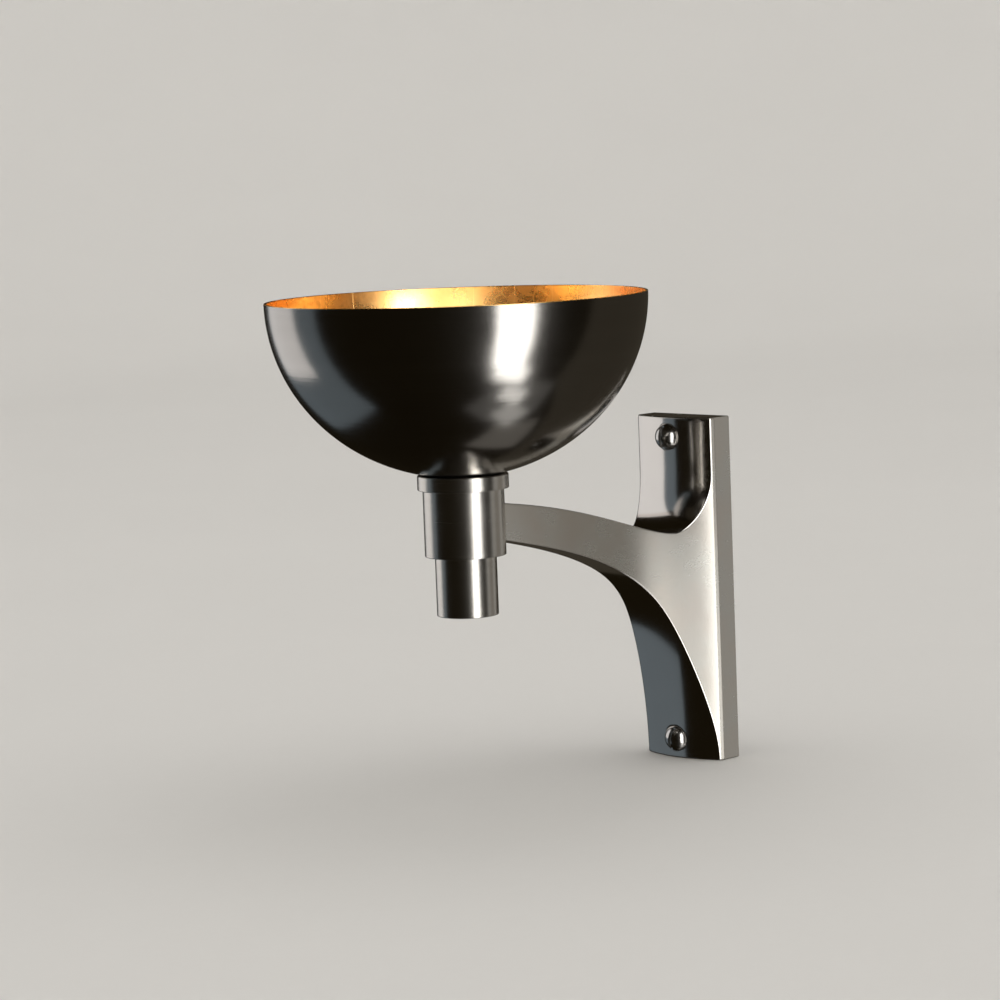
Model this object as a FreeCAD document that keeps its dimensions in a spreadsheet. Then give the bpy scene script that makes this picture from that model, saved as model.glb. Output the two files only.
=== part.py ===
import FreeCAD, Part
import math
import os
import re
import Sketcher

# Uplighter wall sconce: a cast bracket, a turned cup with a sleeve below it and a spun bowl on top.
#
# Frame: the origin is on the wall, midway between the bracket's ends. X runs across the bracket,
# +Y goes into the wall, so the light stands out towards -Y, and +Z is up. Lengths are in millimetres.
# The cup, the bowl, the lampholder and the lamp share one upright axis, "the cup axis".

DIMENSIONS = [
    # bracket casting
    ("plate_height", 191.0, "height of the wall plate"),
    ("plate_width", 55.5, "width of the wall plate"),
    ("plate_edge_depth", 13.0, "depth of the plate's side faces"),
    ("plate_front_depth", 20.8, "depth of the plate's front on its centre line"),
    ("front_crown_radius", 64.0, "radius of the crowned front, seen from above"),
    ("arm_width", 20.0, "width of the arm at the cup"),
    ("flare_start", 76.0, "distance from the wall where the arm begins to widen"),
    ("cup_reach", 180.0, "distance from the wall to the cup axis"),
    ("arm_tip_inset", 10.0, "how far the arm's curves stop short of the cup axis"),
    ("arm_tip_height", 54.1, "height of the arm's middle at its tip"),
    ("arm_tip_thickness", 19.0, "thickness of the arm at its tip"),
    ("arm_top_slope", 0.11, "slope of the arm's top at its tip"),
    ("arm_under_slope", 0.21, "slope of the arm's underside at its tip"),
    ("upper_cove_top", 64.3, "height where the upper cove leaves the plate's front"),
    ("upper_cove_floor", 33.5, "height of the upper cove's lowest point"),
    ("upper_cove_reach", 37.9, "distance from the wall to that lowest point"),
    ("lower_sweep_height", -7.8, "height of the point where the lower sweep turns outwards"),
    ("lower_sweep_reach", 45.5, "distance from the wall to that point"),
    ("lower_sweep_angle", 56.2, "slope of the lower sweep there, in degrees"),
    ("tool_run", 1.0, "how far a cutting tool runs past a face"),
    ("cavity_wall", 4.5, "wall beside the wiring cavity"),
    ("cavity_height", 132.0, "height of the wiring cavity"),
    ("cavity_depth", 11.0, "depth of the wiring cavity"),
    ("cavity_corner", 6.0, "corner radius of the wiring cavity"),
    ("root_pocket_width", 31.0, "width of the deep pocket for the terminal block"),
    ("root_pocket_bottom", -40.0, "height of the deep pocket's bottom"),
    ("root_pocket_top", 24.0, "height of the deep pocket's top"),
    ("root_pocket_depth", 24.0, "depth of the deep pocket"),
    ("channel_radius", 4.2, "radius of the wire channel along the arm"),
    ("channel_mouth_height", 17.5, "height of the wire channel's axis at its inner end"),
    ("channel_mouth_depth", 21.0, "distance from the wall to that inner end"),
    # wall screws
    ("screw_spacing", 169.0, "distance between the wall screws"),
    ("screw_head_radius", 7.5, "radius of a wall screw's domed head"),
    ("screw_head_height", 6.6, "height of the domed head"),
    ("screw_head_rim", 0.8, "height of the head's straight rim"),
    ("screw_shank_radius", 2.8, "radius of the plain shank"),
    ("screw_thread_radius", 3.0, "outside radius of the thread behind the plate"),
    ("screw_protrusion", 22.0, "length of screw behind the plate"),
    ("screw_thread_start", 0.3, "distance behind the plate where the thread starts"),
    ("screw_point", 0.7, "chamfer at the screw's end"),
    ("screw_hole_radius", 3.3, "radius of the hole in the plate"),
    ("screw_slot_width", 2.0, "width of the slot in the head"),
    ("screw_slot_depth", 3.2, "depth of the slot"),
    ("upper_slot_turn", 0.0, "turn of the upper screw's slot from upright, in degrees"),
    ("lower_slot_turn", 9.0, "turn of the lower screw's slot from upright, in degrees"),
    ("spotface_radius", 8.0, "radius of the flat seat under the head"),
    ("spotface_depth", 0.6, "depth of that seat"),
    # cup, collar and lower sleeve
    ("cup_drop", 17.5, "how far the cup's underside lies below the arm's middle at its tip"),
    ("cup_base", "=arm_tip_height - cup_drop", "height of the cup's underside"),
    ("cup_length", 35.1, "length of the cup"),
    ("cup_radius", 21.4, "outside radius of the cup"),
    ("cup_wall", 2.0, "wall of the cup"),
    ("cup_floor", 3.5, "floor of the cup"),
    ("edge_round", 0.5, "rounding of turned edges"),
    ("collar_radius", 24.0, "outside radius of the collar"),
    ("collar_height", 7.8, "height of the collar above the cup"),
    ("collar_bore", 15.0, "radius of the collar's bore"),
    ("collar_round", 1.0, "rounding of the collar's top edge"),
    ("spigot_length", 4.0, "length of the collar's spigot in the cup"),
    ("spigot_wall", 2.8, "wall of that spigot"),
    ("spigot_taper", 1.0, "height of the slope between the collar's bore and the spigot's"),
    ("turned_clearance", 0.05, "radial clearance between turned pieces"),
    ("sleeve_radius", 16.25, "outside radius of the lower sleeve"),
    ("sleeve_length", 31.5, "length of the lower sleeve"),
    ("sleeve_wall", 1.6, "wall of the lower sleeve"),
    ("sleeve_floor", 2.2, "floor of the lower sleeve"),
    ("sleeve_boss_radius", 8.0, "radius of the threaded boss in the sleeve"),
    ("sleeve_boss_height", 12.0, "height of the boss above the sleeve's underside"),
    ("sleeve_thread_floor", 3.5, "metal left under the boss's thread"),
    # threaded tubes, nuts and washers
    ("tube_radius", 5.0, "outside radius of the threaded tubes"),
    ("tube_bore", 3.5, "bore radius of the threaded tubes"),
    ("tube_clearance", 0.05, "radial clearance round the threaded tubes"),
    ("tube_chamfer", 0.6, "chamfer at the ends of the threaded tubes"),
    ("nipple_drop", 1.9, "how far the arm nipple's axis lies below the arm's middle at its tip"),
    ("nipple_height", "=arm_tip_height - nipple_drop", "height of the arm nipple's axis"),
    ("nipple_grip", 15.0, "length of the arm nipple in the arm"),
    ("nipple_hole_depth", 16.0, "depth of the tapped hole in the arm"),
    ("saddle_thickness", 2.2, "thickness of the saddle washer on its axis"),
    ("saddle_radius", 8.0, "radius of the saddle washer"),
    ("thin_nut_flats", 14.0, "width across the flats of the thin nuts"),
    ("thin_nut_height", 3.0, "height of the thin nuts"),
    ("nipple_past_nut", 1.6, "length of the arm nipple past its nut"),
    ("floor_nut_flats", 17.0, "width across the flats of the floor nut"),
    ("floor_nut_height", 3.5, "height of the floor nut"),
    ("lock_washer_radius", 9.2, "outside radius of the toothed washer"),
    ("lock_washer_thickness", 0.8, "thickness of the toothed washer"),
    ("lock_washer_clearance", 0.2, "radial clearance between that washer and the stem rod"),
    ("lock_washer_teeth", 12, "number of teeth on the washer"),
    ("lock_washer_notch", 1.3, "width and depth of the notches between its teeth"),
    ("stem_past_nut", 0.5, "length of the stem rod past the upper bridge nut"),
    # lampholder and its bridge
    ("bridge_lift", 3.8, "height of the bridge's underside above the arm nipple's axis"),
    ("bridge_height", "=nipple_height + bridge_lift", "height of the bridge's underside"),
    ("bridge_thickness", 1.5, "thickness of the bridge's steel strip"),
    ("bridge_width", 13.0, "width of that strip"),
    ("bridge_half_span", 9.8, "distance from the cup axis to the outside of a bridge leg"),
    ("bridge_screw_reach", 12.0, "distance from the cup axis to a bridge screw"),
    ("small_screw_radius", 1.25, "radius of the small screws"),
    ("small_head_radius", 2.1, "head radius of the small screws"),
    ("small_head_height", 1.5, "head height of the small screws"),
    ("head_chamfer", 0.4, "chamfer round a pan head"),
    ("small_clearance", 0.05, "radial clearance round the small screws"),
    ("bridge_screw_length", 6.5, "length of a bridge screw above the bridge's foot"),
    ("bridge_rise", 12.0, "height of the bridge with its feet"),
    ("holder_base", "=bridge_height + bridge_rise", "height of the lampholder's underside"),
    ("holder_radius", 14.0, "outside radius of the lampholder"),
    ("holder_length", 30.0, "length of the lampholder"),
    ("holder_floor", 4.5, "floor of the lampholder"),
    ("holder_lip_round", 1.0, "rounding of the lampholder's mouth"),
    ("shell_bore", 7.3, "inside radius of the screw shell"),
    ("shell_wall", 0.7, "wall of the screw shell"),
    ("shell_height", 23.5, "height of the screw shell"),
    ("shell_rim", 0.9, "width of the screw shell's bottom rim"),
    ("contact_height", 2.2, "height of the sprung centre contact"),
    ("contact_width", 3.5, "width of the centre contact's strip"),
    ("contact_half_length", 4.3, "half the length of the centre contact"),
    ("contact_strip", 0.5, "thickness of the centre contact's strip"),
    ("terminal_inner_reach", 7.0, "distance from the cup axis to a holder terminal"),
    ("terminal_length", 5.0, "radial length of a holder terminal"),
    ("terminal_width", 6.0, "width of a holder terminal"),
    ("terminal_height", 5.0, "height of a holder terminal"),
    ("wire_hole_depth", 3.5, "depth of the wire's hole in a holder terminal"),
    ("shade_ring_height", 7.2, "height of the shade ring"),
    ("shade_ring_wall", 3.0, "wall of the shade ring"),
    ("shade_flange_radius", 18.3, "radius of the shade ring's flange"),
    ("shade_flange_height", 2.0, "height of that flange"),
    # bowl
    ("bowl_radius", 100.0, "outside radius of the bowl at its rim"),
    ("bowl_depth", 92.8, "depth of the bowl from its rim to its flat seat"),
    ("bowl_flat_rise", 1.7, "height by which the flat seat cuts the bowl's oval short"),
    ("bowl_form_depth", "=bowl_depth + bowl_flat_rise", "depth of the bowl's oval without its flat seat"),
    ("bowl_wall", 1.3, "wall of the bowl"),
    ("bowl_hole_clearance", 0.5, "radial clearance between the lampholder and the bowl"),
    # lamp
    ("lamp_seat", 7.0, "height of the lamp's end contact above the lampholder's underside"),
    ("lamp_base", "=holder_base + lamp_seat", "height of the lamp's end contact"),
    ("lamp_length", 78.0, "length of the lamp"),
    ("globe_radius", 22.5, "radius of the lamp's globe"),
    ("globe_glass", 0.9, "thickness of the lamp's glass"),
    ("neck_radius", 8.0, "radius of the globe's neck"),
    ("neck_blend_angle", 35.0, "angle from the globe's bottom where the neck joins, in degrees"),
    ("neck_blend_drop", 10.0, "height of the neck's curve below that joint"),
    ("cap_radius", 6.95, "outside radius of the lamp's screw cap"),
    ("cap_wall", 0.4, "wall of the screw cap"),
    ("cap_start", 3.2, "height of the screw cap's lower edge above the lamp's end"),
    ("cap_skirt_start", 23.4, "height where the cap widens"),
    ("cap_skirt_end", 26.4, "height of the cap's upper edge"),
    ("cap_skirt_radius", 8.5, "radius of the cap's upper edge"),
    ("tip_radius", 2.4, "radius of the lamp's end contact"),
    ("tip_height", 1.5, "height of the lamp's end contact"),
    ("tip_chamfer", 0.8, "chamfer of the lamp's end contact"),
    ("insulator_land", 0.4, "width of the insulator's flat round the end contact"),
    ("insulator_height", 1.5, "height of the insulator inside the cap"),
    ("cap_lip", 1.0, "length of the glass neck held in the cap"),
    ("stem_glass_radius", 3.0, "radius of the lamp's glass stem"),
    ("stem_foot_height", 6.0, "height of the stem's wide foot"),
    ("stem_shoulder", 4.0, "height of the slope above that foot"),
    ("filament_rise", 6.0, "height of the filament above the stem"),
    ("filament_height", 50.0, "height of the filament above the lamp's end"),
    ("filament_half_span", 7.0, "half the span of the filament"),
    ("filament_radius", 0.4, "radius of the filament's coil"),
    # wiring in the bracket
    ("block_width", 28.0, "width of the terminal block"),
    ("block_height", 16.0, "height of the terminal block"),
    ("block_depth", 11.0, "depth of the terminal block"),
    ("block_centre_height", -14.0, "height of the terminal block's centre"),
    ("block_seat_gap", 0.05, "gap between the block and the pocket's floor"),
    ("pole_spacing", 9.0, "spacing of the block's poles"),
    ("barrel_radius", 2.6, "outside radius of a brass barrel"),
    ("barrel_bore", 1.5, "bore radius of a brass barrel"),
    ("barrel_length", 13.0, "length of a brass barrel"),
    ("barrel_screw_spacing", 7.0, "distance between the two screws of a barrel"),
    ("barrel_screw_radius", 1.3, "radius of the barrels' screws"),
    ("barrel_screw_clearance", 0.15, "radial clearance of those screws in the moulding"),
    ("barrel_screw_recess", 0.6, "depth of those screws below the moulding's face"),
    ("block_screw_grip", 5.0, "length of the block's fixing screw in the casting"),
    ("earth_screw_x", 19.4, "sideways place of the earth screw"),
    ("earth_screw_height", 12.0, "height of the earth screw"),
    ("earth_screw_radius", 2.0, "radius of the earth screw"),
    ("earth_head_radius", 3.5, "head radius of the earth screw"),
    ("earth_head_height", 2.4, "head height of the earth screw"),
    ("earth_screw_grip", 8.0, "length of the earth screw in the casting"),
    ("earth_tag_thickness", 0.8, "thickness of the earth tag"),
    ("earth_tag_radius", 3.7, "radius of the earth tag's ring"),
    ("earth_tag_neck", 0.5, "gap between the tag's ring and its barrel"),
    ("earth_tongue_width", 3.0, "width of the tongue that joins them"),
    ("tag_barrel_length", 4.0, "length of the earth tag's barrel"),
    ("tag_barrel_radius", 1.7, "outside radius of the earth tag's barrel"),
    ("wire_radius", 1.1, "outside radius of an inner wire"),
    ("wire_offset", 1.5, "distance of each wire from the middle of the channel"),
    ("wire_bend", 7.0, "bend radius of a wire's middle line in the open"),
    ("tight_wire_bend", 3.0, "bend radius of a wire's middle line beside the lampholder"),
]

# Handles of the bracket's side curves: lengths along the curve's direction at its two ends.
UPPER_COVE_HANDLES = (17.6, 8.85)
ARM_TOP_HANDLES = (12.0, 75.0)
LOWER_SWEEP_HANDLES = (28.0, 21.9)
ARM_UNDER_HANDLES = (32.6, 67.8)

# The section's back stays this share of the way to the axis of the crown.
CLEAR_OF_CROWN_AXIS = 0.9

Vector = FreeCAD.Vector

doc = FreeCAD.newDocument("wall_sconce")
sheet = doc.addObject("Spreadsheet::Sheet", "Dimensions")
for row, (alias, amount, meaning) in enumerate(DIMENSIONS, start=1):
    sheet.set("A%d" % row, meaning)
    sheet.set("B%d" % row, str(amount))
    sheet.setAlias("B%d" % row, alias)
doc.recompute()

ALIASES = {alias for alias, amount, meaning in DIMENSIONS}
WORD = re.compile(r"[a-z][a-z_]*")
NODES = []


def bound(text):
    """The expression with every size's name pointing at the spreadsheet."""
    return WORD.sub(lambda m: "Dimensions." + m.group() if m.group() in ALIASES else m.group(), text)


def size(text):
    """The value of an expression on the sizes."""
    return float(sheet.evalExpression(bound(text)))


def bind(thing, prop, text):
    thing.setExpression(prop, bound(text))


def place(thing, x="0", y="0", z="0", axis=(0, 0, 1), angle=0.0):
    """Turn the object by a fixed angle, then bind its position to the sizes."""
    position = Vector(size(x), size(y), size(z))
    thing.Placement = FreeCAD.Placement(position, FreeCAD.Rotation(Vector(*axis), angle))
    bind(thing, "Placement.Base.x", x)
    bind(thing, "Placement.Base.y", y)
    bind(thing, "Placement.Base.z", z)
    return thing


def node(thing, label):
    """Name a finished sub-part; its label is its file's name."""
    thing.Label = label
    NODES.append(thing)
    return thing


# Heights and depths that several pieces share.
AXIS_Y = "-cup_reach"
CUP_TOP = "(cup_base + cup_length)"
CUP_BORE = "(cup_radius - cup_wall)"
FLOOR_TOP = "(cup_base + cup_floor)"
SEAT = "(cup_base + cup_length + collar_height)"
SEAT_INSIDE = "(cup_base + cup_length + collar_height + bowl_wall)"
RIM = "(cup_base + cup_length + collar_height + bowl_depth)"
SLEEVE_BASE = "(cup_base - sleeve_length)"
FLOOR_NUT_BASE = "(cup_base + cup_floor + lock_washer_thickness)"
BRIDGE_TOP = "(bridge_height + bridge_thickness)"
STEM_TOP = "(bridge_height + bridge_thickness + thin_nut_height + stem_past_nut)"
HOLDER_TOP = "(holder_base + holder_length)"
HOLDER_BOTTOM_INSIDE = "(holder_base + holder_floor)"
TUBE_HOLE = "(tube_radius + tube_clearance)"
SMALL_HOLE = "(small_screw_radius + small_clearance)"
WIRE_HOLE = "(wire_radius + small_clearance)"
SADDLE_FLAT = "(cup_reach - (cup_radius - cup_wall) + saddle_thickness)"
NIPPLE_END = "(cup_reach - (cup_radius - cup_wall) + saddle_thickness + thin_nut_height + nipple_past_nut)"
SCREW_SEAT = "(plate_front_depth - spotface_depth)"
CHANNEL_END = "(cup_reach - cup_radius - nipple_hole_depth + 2.5)"
BLOCK_FRONT = "(root_pocket_depth - block_seat_gap)"
BLOCK_BACK = "(root_pocket_depth - block_seat_gap - block_depth)"
BLOCK_MIDDLE = "(root_pocket_depth - block_seat_gap - block_depth / 2)"
BLOCK_SCREW_X = "(-pole_spacing / 2)"
TAG_BARREL_TOP = "(earth_screw_height - earth_tag_radius - earth_tag_neck)"
TERMINAL_BASE = "(holder_base - terminal_height)"
BRIDGE_FOOT = "(holder_base - bridge_thickness)"
INSULATOR_TOP = "(lamp_base + cap_start + insulator_height)"


# ---------------------------------------------------------------- ways of making pieces

def add_outline(sketch, corners, arcs=None):
    """Close a loop of bound corners. arcs[i] = (which, text, ccw) makes side i an arc about a centre
    whose x or y is the bound text; the other coordinate follows from the side's two ends."""
    arcs = arcs or {}
    count = len(corners)
    spots = [(size(x), size(y)) for x, y in corners]
    for i in range(count):
        (x0, y0), (x1, y1) = spots[i], spots[(i + 1) % count]
        if i not in arcs:
            sketch.addGeometry(Part.LineSegment(Vector(x0, y0, 0), Vector(x1, y1, 0)), False)
            continue
        which, text, ccw = arcs[i]
        known = size(text)
        difference = (x1 ** 2 + y1 ** 2 - x0 ** 2 - y0 ** 2) / 2
        if which == "x":
            centre = (known, (difference - known * (x1 - x0)) / (y1 - y0))
        else:
            centre = ((difference - known * (y1 - y0)) / (x1 - x0), known)
        radius = math.hypot(x0 - centre[0], y0 - centre[1])
        start = math.atan2(y0 - centre[1], x0 - centre[0])
        end = math.atan2(y1 - centre[1], x1 - centre[0])
        circle = Part.Circle(Vector(centre[0], centre[1], 0), Vector(0, 0, 1), radius)
        first, last = (start, end) if ccw else (end, start)
        sketch.addGeometry(Part.ArcOfCircle(circle, first, last), False)
    for i in range(count):
        after = (i + 1) % count
        leaving = 1 if i in arcs and not arcs[i][2] else 2
        arriving = 2 if after in arcs and not arcs[after][2] else 1
        sketch.addConstraint(Sketcher.Constraint("Coincident", i, leaving, after, arriving))
    for i, (x, y) in enumerate(corners):
        here = 2 if i in arcs and not arcs[i][2] else 1
        for kind, text in (("DistanceX", x), ("DistanceY", y)):
            index = sketch.addConstraint(Sketcher.Constraint(kind, -1, 1, i, here, size(text)))
            bind(sketch, "Constraints[%d]" % index, text)
    for i, (which, text, ccw) in arcs.items():
        kind = "DistanceX" if which == "x" else "DistanceY"
        index = sketch.addConstraint(Sketcher.Constraint(kind, -1, 1, i, 3, size(text)))
        bind(sketch, "Constraints[%d]" % index, text)


def body_sketch(body, name, plane):
    sketch = body.newObject("Sketcher::SketchObject", name)
    support = [f for f in body.Origin.OriginFeatures if f.Role == plane][0]
    sketch.AttachmentSupport = [(support, "")]
    sketch.MapMode = "FlatFace"
    return sketch


def turned(label, corners, arcs=None):
    """A turned piece: a closed outline of (radius, height) corners revolved about the body's Z axis."""
    body = doc.addObject("PartDesign::Body", label + "_body")
    sketch = body_sketch(body, label + "_outline", "XZ_Plane")
    add_outline(sketch, corners, arcs)
    turning = body.newObject("PartDesign::Revolution", label + "_turning")
    turning.Profile = sketch
    turning.ReferenceAxis = (sketch, ["V_Axis"])
    turning.Angle = 360
    return body


def on_cup_axis(thing):
    return place(thing, "0", AXIS_Y, "0")


def facing_room(thing, x="0", z="0"):
    """Turn a piece so that its own height is its distance from the wall."""
    return place(thing, x, "0", z, axis=(1, 0, 0), angle=90)


def cylinder(name, radius, height, x="0", y="0", z="0", axis=(0, 0, 1), angle=0.0):
    thing = doc.addObject("Part::Cylinder", name)
    bind(thing, "Radius", radius)
    bind(thing, "Height", height)
    return place(thing, x, y, z, axis, angle)


def rod_outwards(name, radius, start, end, x="0", z="0"):
    """A cylinder square to the wall, from one distance from the wall to a larger one."""
    return cylinder(name, radius, "(%s) - (%s)" % (end, start), x, "-(%s)" % start, z, (1, 0, 0), 90)


def block(name, x_from, x_to, y_from, y_to, z_from, z_to):
    thing = doc.addObject("Part::Box", name)
    bind(thing, "Length", "(%s) - (%s)" % (x_to, x_from))
    bind(thing, "Width", "(%s) - (%s)" % (y_to, y_from))
    bind(thing, "Height", "(%s) - (%s)" % (z_to, z_from))
    return place(thing, x_from, y_from, z_from)


def fused(name, things):
    thing = doc.addObject("Part::MultiFuse", name)
    thing.Shapes = things
    return thing


def cut(name, base, tools):
    thing = doc.addObject("Part::Cut", name)
    thing.Base = base
    thing.Tool = tools[0] if len(tools) == 1 else fused(name + "_tools", tools)
    return thing


def common(name, first, second):
    thing = doc.addObject("Part::Common", name)
    thing.Base = first
    thing.Tool = second
    return thing


def grouped(name, things):
    thing = doc.addObject("Part::Compound", name)
    thing.Links = things
    return thing


def rounded(name, base, radius, wanted):
    """Round the edges of the base for which wanted(edge) holds."""
    doc.recompute()
    amount = size(radius)
    edges = [(i, amount, amount) for i, edge in enumerate(base.Shape.Edges, start=1) if wanted(edge)]
    thing = doc.addObject("Part::Fillet", name)
    thing.Base = base
    thing.Edges = edges
    return thing


def hex_nut(label, flats, height, base_height):
    """A hexagon nut on the cup axis, with two flats square to the arm."""
    prism = doc.addObject("Part::Prism", label + "_prism")
    prism.Polygon = 6
    bind(prism, "Circumradius", flats + " / sqrt(3)")
    bind(prism, "Height", height)
    place(prism, "0", AXIS_Y, base_height)
    hole = cylinder(label + "_hole", TUBE_HOLE, height + " + 2 * tool_run", "0", AXIS_Y,
                    base_height + " - tool_run")
    return node(cut(label + "_cut", prism, [hole]), label)


def bezier(start, start_way, start_handle, end, end_way, end_handle):
    """A smooth curve between two points in the bracket's side view, leaving and arriving along two ways."""
    handle_out = start + start_way * start_handle
    handle_in = end - end_way * end_handle
    curve = Part.BezierCurve()
    curve.setPoles([start, handle_out, handle_in, end])
    return curve.toShape()


def side_point(depth, height):
    """A point in the bracket's side view: distance from the wall, and height."""
    return Vector(0, -depth, height)


def side_way(run, rise):
    return side_point(run, rise).normalize()


def rounded_path(points, bends):
    """Straight runs joined by tangent arcs, with one bend radius for each inner point of the route."""
    edges, here = [], points[0]
    for before, corner, after, radius in zip(points, points[1:], points[2:], bends):
        way_in = (corner - before).normalize()
        way_out = (after - corner).normalize()
        turn = way_in.getAngle(way_out)
        room = 0.48 * min((corner - before).Length, (after - corner).Length)
        trim = min(radius * math.tan(turn / 2), room)
        radius = trim / math.tan(turn / 2)
        arc_start = corner - way_in * trim
        arc_end = corner + way_out * trim
        middle_way = (way_out - way_in).normalize()
        arc_middle = corner + middle_way * (radius / math.cos(turn / 2) - radius)
        edges.append(Part.LineSegment(here, arc_start).toShape())
        edges.append(Part.Arc(arc_start, arc_middle, arc_end).toShape())
        here = arc_end
        print("  bend radius %.2f" % radius)
    edges.append(Part.LineSegment(here, points[-1]).toShape())
    return Part.Wire(edges)


def wire_along(label, points, radius, bends):
    """A round wire along a path of runs and arcs, with its volume set against section times length."""
    print(label)
    path = rounded_path(points, bends)
    ring = Part.Wire(Part.makeCircle(radius, points[0], points[1] - points[0]))
    pipe = Part.BRepOffsetAPI.MakePipeShell(path)
    pipe.add(ring, False, False)
    pipe.build()
    pipe.makeSolid()
    thing = doc.addObject("Part::Feature", label + "_pipe")
    thing.Shape = pipe.shape()
    expected = math.pi * radius ** 2 * path.Length
    print("  length %.1f, volume ratio %.4f" % (path.Length, thing.Shape.Volume / expected))
    return node(thing, label)


# ---------------------------------------------------------------- bracket casting

def bracket_side_face():
    """The casting's section on its centre line, from behind the wall plane to the arm's tip."""
    front = size("plate_front_depth")
    half = size("plate_height") / 2
    tip = size("cup_reach - arm_tip_inset")
    tip_half = size("arm_tip_thickness") / 2
    inner = size("plate_front_depth - front_crown_radius") * CLEAR_OF_CROWN_AXIS
    top_corner = side_point(front, half)
    cove_top = side_point(front, size("upper_cove_top"))
    cove_floor = side_point(size("upper_cove_reach"), size("upper_cove_floor"))
    tip_top = side_point(tip, size("arm_tip_height") + tip_half)
    tip_under = side_point(tip, size("arm_tip_height") - tip_half)
    turn_angle = math.radians(size("lower_sweep_angle"))
    sweep_turn = side_point(size("lower_sweep_reach"), size("lower_sweep_height"))
    sweep_way = side_way(math.cos(turn_angle), math.sin(turn_angle))
    bottom_corner = side_point(front, -half)
    edges = [
        Part.LineSegment(side_point(inner, half), top_corner).toShape(),
        Part.LineSegment(top_corner, cove_top).toShape(),
        bezier(cove_top, side_way(0, -1), UPPER_COVE_HANDLES[0],
               cove_floor, side_way(1, 0), UPPER_COVE_HANDLES[1]),
        bezier(cove_floor, side_way(1, 0), ARM_TOP_HANDLES[0],
               tip_top, side_way(1, size("arm_top_slope")), ARM_TOP_HANDLES[1]),
        Part.LineSegment(tip_top, tip_under).toShape(),
        bezier(tip_under, side_way(-1, -size("arm_under_slope")), ARM_UNDER_HANDLES[1],
               sweep_turn, sweep_way * -1, ARM_UNDER_HANDLES[0]),
        bezier(sweep_turn, sweep_way * -1, LOWER_SWEEP_HANDLES[1],
               bottom_corner, side_way(0, -1), LOWER_SWEEP_HANDLES[0]),
        Part.LineSegment(bottom_corner, side_point(inner, -half)).toShape(),
        Part.LineSegment(side_point(inner, -half), side_point(inner, half)).toShape(),
    ]
    thing = doc.addObject("Part::Feature", "bracket_side_face")
    thing.Shape = Part.Face(Part.Wire(edges))
    return thing


def bracket_blank():
    """The side view revolved into a crowned front, kept inside the plan view's flared outline."""
    crowned = doc.addObject("Part::Revolution", "bracket_crowned")
    crowned.Source = bracket_side_face()
    crowned.Axis = (0, 0, 1)
    crowned.Angle = 90
    crowned.Symmetric = True
    bind(crowned, "Base.y", "front_crown_radius - plate_front_depth")
    plan = doc.addObject("Sketcher::SketchObject", "bracket_plan")
    side, arm = "(plate_width / 2)", "(arm_width / 2)"
    add_outline(plan, [
        ("-" + side, "0"), (side, "0"), (side, "-plate_edge_depth"),
        (arm, "-flare_start"), (arm, "-cup_reach"),
        ("-" + arm, "-cup_reach"), ("-" + arm, "-flare_start"), ("-" + side, "-plate_edge_depth"),
    ], {2: ("y", "-flare_start", True), 6: ("y", "-flare_start", True)})
    upright = doc.addObject("Part::Extrusion", "bracket_plan_upright")
    upright.Base = plan
    upright.DirMode = "Custom"
    upright.Dir = (0, 0, 1)
    upright.Solid = True
    upright.Symmetric = True
    bind(upright, "LengthFwd", "plate_height + 2 * arm_tip_height")
    return common("bracket_blank", crowned, upright)


def wiring_cavity():
    half_width = "(plate_width / 2 - cavity_wall)"
    shallow = block("cavity_shallow", "-" + half_width, half_width, "-cavity_depth", "tool_run",
                    "-cavity_height / 2", "cavity_height / 2")
    deep = block("cavity_deep", "-root_pocket_width / 2", "root_pocket_width / 2",
                 "-root_pocket_depth", "tool_run", "root_pocket_bottom", "root_pocket_top")

    def runs_to_wall(edge):
        box = edge.BoundBox
        return box.YLength > size("cavity_depth") / 2 and box.XLength + box.ZLength < 1e-3
    return [rounded("cavity_shallow_round", shallow, "cavity_corner", runs_to_wall),
            rounded("cavity_deep_round", deep, "cavity_corner / 2", runs_to_wall)]


def wire_channel():
    """A straight bore that slopes from the deep pocket up to the tapped hole at the arm's end."""
    run = "(%s - channel_mouth_depth)" % CHANNEL_END
    rise = "(nipple_height - channel_mouth_height)"
    thing = doc.addObject("Part::Cylinder", "wire_channel")
    bind(thing, "Radius", "channel_radius")
    bind(thing, "Height", "sqrt(%s ^ 2 + %s ^ 2)" % (run, rise))
    slope = math.degrees(math.atan2(size(rise), size(run)))
    return place(thing, "0", "-" + CHANNEL_END, "nipple_height", axis=(-1, 0, 0), angle=90 + slope)


def screw_seats():
    tools = []
    for name, sign in (("upper", ""), ("lower", "-")):
        height = sign + "screw_spacing / 2"
        tools.append(rod_outwards(name + "_screw_hole", "screw_hole_radius", "-tool_run",
                                  "plate_front_depth + tool_run", "0", height))
        tools.append(rod_outwards(name + "_spotface", "spotface_radius", SCREW_SEAT,
                                  "plate_front_depth + spotface_radius", "0", height))
    return tools


def wall_bracket():
    blank = bracket_blank()
    saddle = cylinder("cup_saddle", "cup_radius + turned_clearance", "plate_height",
                      "0", AXIS_Y, "arm_tip_height - plate_height / 2")
    tapped = rod_outwards("nipple_thread", TUBE_HOLE, "cup_reach - cup_radius - nipple_hole_depth",
                          "cup_reach", "0", "nipple_height")
    earth = rod_outwards("earth_thread", "earth_screw_radius + small_clearance", "0",
                         "cavity_depth + earth_screw_grip + tool_run", "earth_screw_x", "earth_screw_height")
    fixing = rod_outwards("block_thread", SMALL_HOLE, "0", "root_pocket_depth + block_screw_grip + tool_run",
                          BLOCK_SCREW_X, "block_centre_height")
    tools = [saddle, tapped, wire_channel(), earth, fixing] + screw_seats() + wiring_cavity()
    return node(cut("bracket_casting", blank, tools), "wall_bracket")


# ---------------------------------------------------------------- wall screws

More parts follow.
